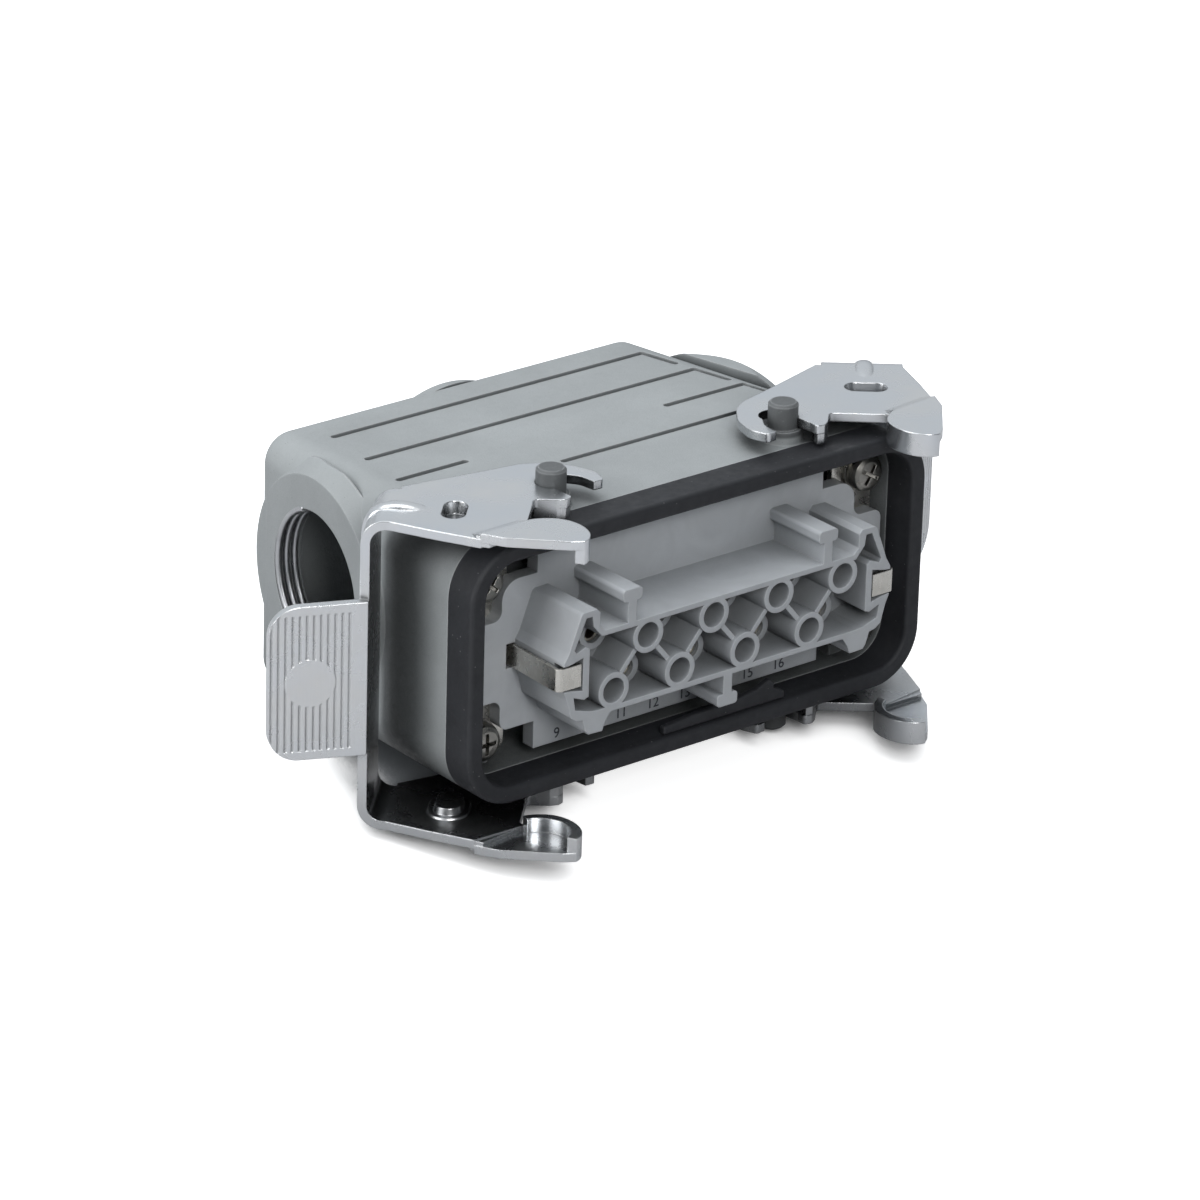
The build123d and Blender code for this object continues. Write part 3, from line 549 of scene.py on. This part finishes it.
def plated_metal(name, colour, shade, rough, streaky=0.3):
    """Plated small parts: contacts, strips and screws."""
    material, tree, shader, place = finish_base(name)
    grain = effect(tree, "grain", place, (-650, 200), Fine_Scale=6200.0, Coarse_Scale=600.0, Coarse_Share=0.4)
    streaks = effect(tree, "streaks", place, (-650, -50),
                     Across_Scale=7000.0, Along_Scale=500.0, Cloud_Scale=260.0)
    wear_and_sheen = effect(tree, "edge", place, (-650, -300), Radius=0.0002, Gain=7.0)
    tint = blend_colour(tree, spread(tree, streaks.outputs["Clouds"], 0.0, 1.0, (-420, 100)), shade, colour,
                        (-250, 100))
    tint = blend_colour(tree, spread(tree, streaks.outputs["Streaks"], 0.0, streaky, (-420, -100)), tint,
                        times(colour, 0.6), (-50, 100))
    tint = blend_colour(tree, wear_and_sheen.outputs[0], tint, times(colour, 1.25), (200, 100))
    join(tree, tint, shader.inputs["Base Color"])
    shader.inputs["Metallic"].default_value = 1.0
    join(tree, spread(tree, grain.outputs["Coarse"], rough - 0.06, rough + 0.12, (200, -80)),
         shader.inputs["Roughness"])
    bumped(tree, shader, grain.outputs["Height"], 0.00001, 0.0002)
    return material


def print_ink():
    """Dark ink of the pole numbers, a little thin in places."""
    values = bpy.context.scene.connector_insert
    material, tree, shader, place = finish_base("number_ink")
    grain = effect(tree, "grain", place, (-650, 200),
                   Fine_Scale=9000.0, Coarse_Scale=2500.0, Coarse_Share=0.5)
    ink = tuple(values.ink_colour)
    tint = blend_colour(tree, spread(tree, grain.outputs["Height"], 0.0, 0.55, (-420, 100), 0.45, 0.7), ink,
                        times(ink, 2.6), (-200, 100))
    join(tree, tint, shader.inputs["Base Color"])
    join(tree, spread(tree, grain.outputs["Coarse"], 0.45, 0.65, (100, -80)), shader.inputs["Roughness"])
    bump = put(tree, "ShaderNodeBump", (300, -300), Distance=0.00001)
    join(tree, grain.outputs["Height"], bump.inputs["Height"])
    join(tree, bump.outputs[0], shader.inputs["Normal"])
    return material


MATERIALS = {
    "cast": cast_paint,
    "zinc": zinc_sheet,
    "rubber": black_rubber,
    "moulding": grey_moulding,
    "ink": print_ink,
    "thread": lambda: plated_metal("bare_thread_metal", (0.62, 0.63, 0.64), (0.50, 0.51, 0.53), 0.32, 0.2),
    "contact": lambda: plated_metal("plated_contact_metal", (0.74, 0.70, 0.62), (0.56, 0.52, 0.44), 0.30),
    "strip": lambda: plated_metal("plated_strip_metal", (0.78, 0.76, 0.71), (0.62, 0.60, 0.55), 0.26),
    "screw": lambda: plated_metal("worn_screw_metal", (0.44, 0.43, 0.40), (0.22, 0.21, 0.19), 0.30, 0.6),
}
made_materials = {}


def material_for(name):
    """The material of that name, made at its first use."""
    if name not in made_materials:
        made_materials[name] = MATERIALS[name]()
    return made_materials[name]


def dress(node, name):
    """Gives a CAD node its material."""
    thing = frame["nodes"][node]
    thing.data.materials.clear()
    thing.data.materials.append(material_for(name))


# Mesh helpers


def add_object(name, data):
    made = bpy.data.objects.new(name, data)
    bpy.context.scene.collection.objects.link(made)
    return made


def new_piece(name, mesh, material, body):
    """Adds a piece of the object that the CAD doesn't have, fixed to one of its bodies."""
    mesh.materials.clear()
    mesh.materials.append(material_for(material))
    piece = add_object(name, mesh)
    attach(piece, body)
    return piece


def nodes_to_mesh(name, tree, values, source=None):
    """Runs a geometry tree once and returns its result as a plain mesh."""
    carrier = add_object(name + "_carrier", source or bpy.data.meshes.new(name + "_start"))
    modifier = carrier.modifiers.new("build", "NODES")
    modifier.node_group = tree
    for item in tree.interface.items_tree:
        if item.item_type == "SOCKET" and item.in_out == "INPUT" and item.name in values:
            modifier[item.identifier] = values[item.name]
    bpy.context.view_layer.update()
    graph = bpy.context.evaluated_depsgraph_get()
    mesh = bpy.data.meshes.new_from_object(carrier.evaluated_get(graph), depsgraph=graph)
    mesh.name = name
    carrier.modifiers.remove(modifier)
    bpy.data.objects.remove(carrier)
    if not mesh.polygons:
        raise RuntimeError(f"{name} came out empty")
    return mesh


def geometry_tree(name, inputs):
    """A geometry tree with its inputs as (label, kind, value)."""
    tree = bpy.data.node_groups.new(name, "GeometryNodeTree")
    tree.interface.new_socket(name="Geometry", in_out="INPUT", socket_type="NodeSocketGeometry")
    add_inputs(tree, inputs)
    tree.interface.new_socket(name="Geometry", in_out="OUTPUT", socket_type="NodeSocketGeometry")
    start = tree.nodes.new("NodeGroupInput")
    start.location = (-900, 0)
    end = tree.nodes.new("NodeGroupOutput")
    end.location = (900, 0)
    return tree, start, end


def close_tree(tree, end, geometry, material):
    """Makes the copies real, gives them their material and ends the tree."""
    real = put(tree, "GeometryNodeRealizeInstances", (500, 0))
    paint = put(tree, "GeometryNodeSetMaterial", (700, 0))
    paint.inputs["Material"].default_value = material_for(material)
    join(tree, geometry, real.inputs[0])
    join(tree, real.outputs[0], paint.inputs[0])
    join(tree, paint.outputs[0], end.inputs[0])


def thread_tree():
    """A ridge swept along a spiral: radius, pitch, turns and depth."""
    tree, start, end = geometry_tree(
        "entry_thread_tree",
        [("Radius", "NodeSocketFloat", 0.0125), ("Pitch", "NodeSocketFloat", 0.0015),
         ("Turns", "NodeSocketFloat", 2.7), ("Depth", "NodeSocketFloat", 0.00075)])
    spiral = put(tree, "GeometryNodeCurveSpiral", (-500, 200), Resolution=96)
    rise = put(tree, "ShaderNodeMath", (-700, 0), {"operation": "MULTIPLY"})
    join(tree, start.outputs["Pitch"], rise.inputs[0])
    join(tree, start.outputs["Turns"], rise.inputs[1])
    join(tree, start.outputs["Turns"], spiral.inputs["Rotations"])
    join(tree, start.outputs["Radius"], spiral.inputs["Start Radius"])
    join(tree, start.outputs["Radius"], spiral.inputs["End Radius"])
    join(tree, rise.outputs[0], spiral.inputs["Height"])
    ridge = put(tree, "GeometryNodeCurvePrimitiveCircle", (-500, -150), Resolution=4)
    join(tree, start.outputs["Depth"], ridge.inputs["Radius"])
    sweep = put(tree, "GeometryNodeCurveToMesh", (-100, 100))
    sweep.inputs["Fill Caps"].default_value = True
    join(tree, spiral.outputs[0], sweep.inputs["Curve"])
    join(tree, ridge.outputs[0], sweep.inputs["Profile Curve"])
    close_tree(tree, end, sweep.outputs[0], "thread")
    return tree


def number_tree(count, first):
    """Numbers in a row at the pole pitch, cut from thin ink."""
    tree, start, end = geometry_tree(
        "pole_number_tree",
        [("Size", "NodeSocketFloat", 0.0025), ("Pitch", "NodeSocketFloat", 0.00652),
         ("Ink Height", "NodeSocketFloat", INK_HEIGHT)])
    gathered = put(tree, "GeometryNodeJoinGeometry", (200, 0))
    for index in range(count):
        words = put(tree, "GeometryNodeStringToCurves", (-600, -200 * index),
                    {"align_x": "CENTER", "align_y": "MIDDLE"})
        words.inputs["String"].default_value = str(first + index)
        join(tree, start.outputs["Size"], words.inputs["Size"])
        filled = put(tree, "GeometryNodeFillCurve", (-350, -200 * index))
        join(tree, words.outputs[0], filled.inputs[0])
        step = put(tree, "ShaderNodeMath", (-350, -120 - 200 * index), {"operation": "MULTIPLY"})
        step.inputs[1].default_value = index - (count - 1) / 2
        join(tree, start.outputs["Pitch"], step.inputs[0])
        offset = put(tree, "ShaderNodeCombineXYZ", (-180, -120 - 200 * index))
        join(tree, step.outputs[0], offset.inputs["X"])
        moved = put(tree, "GeometryNodeTransform", (0, -200 * index))
        join(tree, filled.outputs[0], moved.inputs["Geometry"])
        join(tree, offset.outputs[0], moved.inputs["Translation"])
        join(tree, moved.outputs[0], gathered.inputs[0])
    thick = put(tree, "GeometryNodeExtrudeMesh", (350, 0))
    join(tree, gathered.outputs[0], thick.inputs["Mesh"])
    join(tree, start.outputs["Ink Height"], thick.inputs["Offset Scale"])
    close_tree(tree, end, thick.outputs[0], "ink")
    return tree


def copies_tree(piece, material):
    """One piece set on each point of the start mesh."""
    tree, start, end = geometry_tree("repeated_" + piece.name, [("Turn", "NodeSocketFloat", 0.0)])
    source = put(tree, "GeometryNodeObjectInfo", (-600, -150))
    source.inputs["Object"].default_value = piece
    spots = put(tree, "GeometryNodeMeshToPoints", (-600, 100))
    join(tree, start.outputs["Geometry"], spots.inputs[0])
    number = put(tree, "GeometryNodeInputIndex", (-600, -400))
    turned = put(tree, "ShaderNodeMath", (-400, -400), {"operation": "MULTIPLY"})
    join(tree, number.outputs[0], turned.inputs[0])
    join(tree, start.outputs["Turn"], turned.inputs[1])
    angles = put(tree, "ShaderNodeCombineXYZ", (-200, -300))
    join(tree, turned.outputs[0], angles.inputs["Y"])
    placed = put(tree, "GeometryNodeInstanceOnPoints", (0, 0))
    join(tree, spots.outputs[0], placed.inputs["Points"])
    join(tree, source.outputs["Geometry"], placed.inputs["Instance"])
    join(tree, angles.outputs[0], placed.inputs["Rotation"])
    close_tree(tree, end, placed.outputs[0], material)
    return tree


def lathe(profile, segments=48):
    """A closed body of revolution about -Y from (radius, y) pairs, in millimetres."""
    work = bmesh.new()
    rings = []
    for radius, y in profile:
        if radius <= 0:
            rings.append([work.verts.new((0, y * MM, 0))])
            continue
        ring = []
        for index in range(segments):
            angle = 2 * math.pi * index / segments
            across, up = radius * MM * math.cos(angle), radius * MM * math.sin(angle)
            ring.append(work.verts.new((across, y * MM, up)))
        rings.append(ring)
    for near, far in zip(rings, rings[1:]):
        for index in range(segments):
            after = (index + 1) % segments
            if len(near) == 1:
                work.faces.new((near[0], far[after], far[index]))
            elif len(far) == 1:
                work.faces.new((near[index], near[after], far[0]))
            else:
                work.faces.new((near[index], near[after], far[after], far[index]))
    return work


def prism(work, near_places, far_places):
    """Adds a prism between two outlines in millimetres and returns its corners."""
    near = [work.verts.new([part * MM for part in place]) for place in near_places]
    far = [work.verts.new([part * MM for part in place]) for place in far_places]
    work.faces.new(near)
    work.faces.new(list(reversed(far)))
    for index in range(len(near)):
        after = (index + 1) % len(near)
        work.faces.new((near[after], near[index], far[index], far[after]))
    return near + far


def closed_mesh(work, name):
    """Turns the faces of a closed form outward and returns it as a mesh."""
    bmesh.ops.recalc_face_normals(work, faces=work.faces)
    mesh = bpy.data.meshes.new(name)
    work.to_mesh(mesh)
    work.free()
    return mesh


# Operators


class CONNECTOR_OT_camera(bpy.types.Operator):
    """Places the camera where the photograph was taken from"""

    bl_idname = "connector.camera"
    bl_label = "Camera"

    def execute(self, context):
        data = bpy.data.cameras.new("photo_camera")
        data.lens = CAMERA_LENS
        data.sensor_width = 36.0
        data.clip_start = 0.05
        data.clip_end = 20.0
        camera = add_object("photo_camera", data)
        camera.location = CAMERA_PLACE
        camera.rotation_euler = [math.radians(angle) for angle in CAMERA_TURN]
        context.scene.camera = camera
        return {"FINISHED"}


class CONNECTOR_OT_stage(bpy.types.Operator):
    """Makes the pale floor, the soft lamps and the white surroundings"""

    bl_idname = "connector.stage"
    bl_label = "Stage"

    def execute(self, context):
        scene = context.scene
        scene.view_settings.view_transform = "Standard"
        self.floor()
        self.world(scene)
        for name, place, aim, size, watts in LAMPS:
            data = bpy.data.lights.new(name, "AREA")
            data.shape = "SQUARE"
            data.size = size
            data.energy = watts
            lamp = add_object(name, data)
            lamp.location = place
            direction = Vector(aim) - Vector(place)
            lamp.rotation_euler = direction.to_track_quat("-Z", "Y").to_euler()
        return {"FINISHED"}

    def floor(self):
        """Pale paper, with painted shadow only close to the object and under the hood's left end."""
        material = bpy.data.materials.new("pale_floor")
        material.use_nodes = True
        tree = material.node_tree
        tree.nodes.clear()
        out = put(tree, "ShaderNodeOutputMaterial", (600, 0))
        place = put(tree, "ShaderNodeTexCoord", (-600, 0))
        paper = put(tree, "ShaderNodeTexNoise", (-400, 100), Scale=60.0, Detail=4.0)
        join(tree, place.outputs["Object"], paper.inputs["Vector"])
        seen = put(tree, "ShaderNodeBsdfPrincipled", (0, 250), Roughness=0.9)
        near = put(tree, "ShaderNodeAmbientOcclusion", (-600, 400), {"samples": 8}, Distance=0.007)
        wide = put(tree, "ShaderNodeAmbientOcclusion", (-600, 600), {"samples": 12}, Distance=0.018)
        away = put(tree, "ShaderNodeVectorMath", (-600, 800), {"operation": "DISTANCE"})
        away.inputs[1].default_value = SHADED_PATCH
        join(tree, place.outputs["Object"], away.inputs[0])
        # Painted shadow: dark colour under the hood's left end, and the floor's glow fading close to the
        # object.
        under_hood = put(tree, "ShaderNodeMath", (-200, 750), {"operation": "MULTIPLY"})
        join(tree, spread(tree, away.outputs["Value"], 1.0, 0.0, (-400, 850), 0.010, 0.018),
             under_hood.inputs[0])
        join(tree, spread(tree, wide.outputs["AO"], 1.0, 0.0, (-400, 650), 0.38, 0.62),
             under_hood.inputs[1])
        shaded = under_hood.outputs[0]
        pale = blend_colour(tree, paper.outputs[0], (0.86, 0.86, 0.86), (0.90, 0.90, 0.90), (-200, 100))
        join(tree, blend_colour(tree, shaded, pale, (0.12, 0.13, 0.14), (-100, 450)),
             seen.inputs["Base Color"])
        seen.inputs["Emission Color"].default_value = (1, 1, 1, 1)
        open_floor = put(tree, "ShaderNodeMath", (-50, 600), {"operation": "MULTIPLY"})
        join(tree, spread(tree, near.outputs["AO"], 0.0, 0.74, (-300, 450), 0.20, 0.70),
             open_floor.inputs[0])
        join(tree, spread(tree, shaded, 1.0, 0.0, (-200, 600), 0.0, 1.0), open_floor.inputs[1])
        join(tree, open_floor.outputs[0], seen.inputs["Emission Strength"])
        bounced = put(tree, "ShaderNodeBsdfPrincipled", (0, -250), Roughness=0.9)
        ray = put(tree, "ShaderNodeLightPath", (0, 600))
        join(tree, blend_colour(tree, ray.outputs["Is Glossy Ray"], (0.16, 0.16, 0.165), (0.62, 0.62, 0.63),
                                (-200, -200)), bounced.inputs["Base Color"])
        for_camera(tree, ray, seen, bounced, out)
        tilt = math.radians(FLOOR_TILT)
        corners = []
        for side, along in ((-1, -1), (1, -1), (1, 1), (-1, 1)):
            reach = along * FLOOR_HALF
            y, z = FLOOR_Y + reach * math.cos(tilt), FLOOR_Z + reach * math.sin(tilt)
            corners.append((side * FLOOR_HALF, y, z))
        mesh = bpy.data.meshes.new("floor")
        mesh.from_pydata(corners, [], [(0, 1, 2, 3)])
        mesh.materials.append(material)
        floor = add_object("floor", mesh)

    def world(self, scene):
        """White for the camera, and a soft grey gradient for the light and the reflections."""
        world = bpy.data.worlds.new("white_room")
        scene.world = world
        world.use_nodes = True
        tree = world.node_tree
        tree.nodes.clear()
        out = put(tree, "ShaderNodeOutputWorld", (600, 0))
        seen = put(tree, "ShaderNodeBackground", (200, 100), Strength=1.0)
        seen.inputs["Color"].default_value = (1, 1, 1, 1)
        lighting = put(tree, "ShaderNodeBackground", (200, -100), Strength=1.0)
        direction = put(tree, "ShaderNodeTexCoord", (-700, -200))
        facing = put(tree, "ShaderNodeVectorMath", (-500, -200), {"operation": "DOT_PRODUCT"})
        facing.inputs[1].default_value = (0.10, 0.55, 0.60)
        join(tree, direction.outputs["Generated"], facing.inputs[0])
        level = spread(tree, facing.outputs["Value"], 0.0, 1.0, (-300, -200), -0.25, 0.65)
        join(tree, blend_colour(tree, level, (0.030, 0.034, 0.038), (0.60, 0.63, 0.66), (0, -200)),
             lighting.inputs["Color"])
        ray = put(tree, "ShaderNodeLightPath", (-200, 200))
        for_camera(tree, ray, seen, lighting, out)


class CONNECTOR_OT_housing(bpy.types.Operator):
    """Paints the casting, cuts the entry's thread and fills out the back boss"""

    bl_idname = "connector.housing"
    bl_label = "Housing"

    def execute(self, context):
        dress("hood_shell", "cast")
        values = context.scene.connector_housing
        mesh = nodes_to_mesh("entry_thread", thread_tree(), {
            "Radius": values.thread_radius, "Pitch": values.thread_pitch,
            "Turns": values.thread_turns, "Depth": values.thread_depth})
        mount = next(m for m in frame["record"]["mounts"] if m["name"] == "cable_entry")
        outward = Vector(mount["axis"]).normalized()
        turn = outward.to_track_quat("Z", "Y").to_matrix().to_4x4()
        length = values.thread_pitch * values.thread_turns
        start = Vector(mount["pos_m"]) + outward * (FACE_PAST_MOUNT - THREAD_LEAD_IN - length)
        mesh.transform(Matrix.Translation(start) @ turn)
        new_piece("entry_thread", mesh, "thread", "hood")
        self.back_boss()
        return {"FINISHED"}

    def back_boss(self):
        """The blank boss on the back, with its full face and its sloping side."""
        work = lathe(BACK_BOSS_PROFILE, BACK_BOSS_STEPS)
        bmesh.ops.translate(work, verts=work.verts, vec=(BACK_BOSS_X * MM, 0, BACK_BOSS_Z * MM))
        mesh = closed_mesh(work, "back_boss")
        new_piece("back_boss", mesh, "cast", "hood")


class CONNECTOR_OT_levers(bpy.types.Operator):
    """Plates both levers"""

    bl_idname = "connector.levers"
    bl_label = "Levers"

    def execute(self, context):
        for node in ("lever_left", "lever_right"):
            dress(node, "zinc")
        return {"FINISHED"}


class CONNECTOR_OT_seal(bpy.types.Operator):
    """Gives the rim seal its rubber, and the fold on its lower inner edge"""

    bl_idname = "connector.seal"
    bl_label = "Rim seal"

    def execute(self, context):
        dress("rim_seal", "rubber")
        work = bmesh.new()
        prism(work, [(x, FOLD_FRONT, z) for x, z in FOLD_OUTLINE],
              [(x, FOLD_BACK, z) for x, z in FOLD_OUTLINE])
        mesh = closed_mesh(work, "seal_fold")
        fold = new_piece("seal_fold", mesh, "rubber", "hood")
        soft = fold.modifiers.new("soft edges", "BEVEL")
        soft.width = FOLD_SOFTNESS
        soft.segments = 3
        return {"FINISHED"}


class CONNECTOR_OT_insert(bpy.types.Operator):
    """Finishes the insert and prints the pole numbers on its lower edge"""

    bl_idname = "connector.insert"
    bl_label = "Insert"

    def execute(self, context):
        dress("insert_body", "moulding")
        values = context.scene.connector_insert
        mesh = nodes_to_mesh("pole_numbers", number_tree(NUMBER_COUNT, FIRST_NUMBER), {
            "Size": values.number_size, "Pitch": values.pole_pitch, "Ink Height": INK_HEIGHT})
        mesh.transform(Matrix.Translation(NUMBER_ROW) @ Matrix.Rotation(math.radians(90), 4, "X"))
        new_piece("pole_numbers", mesh, "ink", "hood")
        return {"FINISHED"}


class CONNECTOR_OT_contacts(bpy.types.Operator):
    """Plates the contacts and their clamp screws"""

    bl_idname = "connector.contacts"
    bl_label = "Contacts"

    def execute(self, context):
        for node in frame["nodes"]:
            if node.startswith("contact_"):
                dress(node, "contact")
        dress("clamp_screws", "screw")
        return {"FINISHED"}


class CONNECTOR_OT_earth(bpy.types.Operator):
    """Plates the earth strips, their clamps and screws"""

    bl_idname = "connector.earth"
    bl_label = "Earth strips"

    def execute(self, context):
        for side in ("left", "right"):
            dress("earth_plate_" + side, "strip")
            dress("earth_clamp_" + side, "contact")
        dress("earth_screws", "screw")
        return {"FINISHED"}


class CONNECTOR_OT_fixings(bpy.types.Operator):
    """Makes the insert's crosshead screws and split spring washers"""

    bl_idname = "connector.fixings"
    bl_label = "Fixing screws"

    def execute(self, context):
        low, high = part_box("fixing_screws")
        reach_x = (high.x - low.x) / 2 - HEAD_RADIUS * MM
        reach_z = (high.z - low.z) / 2 - HEAD_RADIUS * MM
        spots = [(side * reach_x, end * reach_z) for side in (-1, 1) for end in (-1, 1)]
        mesh = self.copies("fixing_screw_set", self.screw(), SCREW_TURN, spots, low.y)
        piece = new_piece("fixing_screw_set", mesh, "screw", "hood")
        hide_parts("fixing_screws")
        mesh = self.copies("spring_washer_set", self.washer(), WASHER_TURN, spots, low.y + HEAD_HEIGHT * MM)
        piece = new_piece("spring_washer_set", mesh, "screw", "hood")
        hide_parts("spring_washers")
        return {"FINISHED"}

    def copies(self, name, single, turn, spots, y):
        """The single piece on every spot, each turned further than the one before."""
        start = bpy.data.meshes.new(name + "_spots")
        start.from_pydata([(x, y, z) for x, z in spots], [], [])
        mesh = nodes_to_mesh(name, copies_tree(single, "screw"), {"Turn": turn}, start)
        bpy.data.objects.remove(single)
        return mesh

    def screw(self):
        """A pan head screw with its head's top at the origin, and a cross recess cut in."""
        blank = add_object("screw_blank", closed_mesh(lathe(SCREW_PROFILE), "screw_blank"))
        cutter = bmesh.new()
        for turn in (0, 90):
            corners = prism(cutter, [(x, y, -RECESS_HALF) for x, y in RECESS_OUTLINE],
                            [(x, y, RECESS_HALF) for x, y in RECESS_OUTLINE])
            bmesh.ops.rotate(cutter, verts=corners, cent=(0, 0, 0),
                             matrix=Matrix.Rotation(math.radians(turn), 3, "Y"))
        cut = add_object("cross_cutter", closed_mesh(cutter, "cross_cutter"))
        boolean = blank.modifiers.new("cross", "BOOLEAN")
        boolean.operation = "DIFFERENCE"
        boolean.solver = "EXACT"
        boolean.use_self = True
        boolean.object = cut
        bpy.context.view_layer.update()
        graph = bpy.context.evaluated_depsgraph_get()
        done = bpy.data.meshes.new_from_object(blank.evaluated_get(graph), depsgraph=graph)
        bpy.data.objects.remove(cut)
        blank.modifiers.clear()
        blank.data = done
        return blank

    def washer(self):
        """A split ring with its ends a little apart and lifted."""
        work = bmesh.new()
        gap = math.radians(WASHER_GAP)
        sections = []
        for index in range(WASHER_STEPS + 1):
            angle = gap / 2 + (2 * math.pi - gap) * index / WASHER_STEPS
            lift = WASHER_LIFT * (index / WASHER_STEPS - 0.5)
            section = []
            for radius, y in WASHER_SECTION:
                place = (radius * MM * math.cos(angle), (y + lift) * MM, radius * MM * math.sin(angle))
                section.append(work.verts.new(place))
            sections.append(section)
        for near, far in zip(sections, sections[1:]):
            for index in range(4):
                after = (index + 1) % 4
                work.faces.new((near[index], near[after], far[after], far[index]))
        work.faces.new(sections[0])
        work.faces.new(list(reversed(sections[-1])))
        return add_object("washer_blank", closed_mesh(work, "washer_blank"))


class CONNECTOR_PT_sidebar(bpy.types.Panel):
    """Lists the connector's steps and their settings"""

    bl_idname = "CONNECTOR_PT_sidebar"
    bl_label = "Connector"
    bl_space_type = "VIEW_3D"
    bl_region_type = "UI"
    bl_category = "Connector"

    def draw(self, context):
        for step in STEPS:
            self.layout.operator(step.bl_idname)
        for settings, _ in SETTINGS:
            values = getattr(context.scene, settings)
            for name in values.bl_rna.properties.keys():
                if name not in ("rna_type", "name"):
                    self.layout.prop(values, name)


STEPS = (
    CONNECTOR_OT_camera,
    CONNECTOR_OT_stage,
    CONNECTOR_OT_housing,
    CONNECTOR_OT_levers,
    CONNECTOR_OT_seal,
    CONNECTOR_OT_insert,
    CONNECTOR_OT_contacts,
    CONNECTOR_OT_earth,
    CONNECTOR_OT_fixings,
)
SETTINGS = (
    ("connector_housing", ConnectorHousingSettings),
    ("connector_lever", ConnectorLeverSettings),
    ("connector_insert", ConnectorInsertSettings),
)


def register():
    for name, kind in SETTINGS:
        bpy.utils.register_class(kind)
        setattr(bpy.types.Scene, name, bpy.props.PointerProperty(type=kind))
    for kind in (*STEPS, CONNECTOR_PT_sidebar):
        bpy.utils.register_class(kind)


def unregister():
    for kind in (CONNECTOR_PT_sidebar, *reversed(STEPS)):
        bpy.utils.unregister_class(kind)
    for name, kind in reversed(SETTINGS):
        delattr(bpy.types.Scene, name)
        bpy.utils.unregister_class(kind)


def main():
    register()
    for step in STEPS:
        group, name = step.bl_idname.split(".")
        getattr(getattr(bpy.ops, group), name)()


if __name__ == "__main__":
    main()
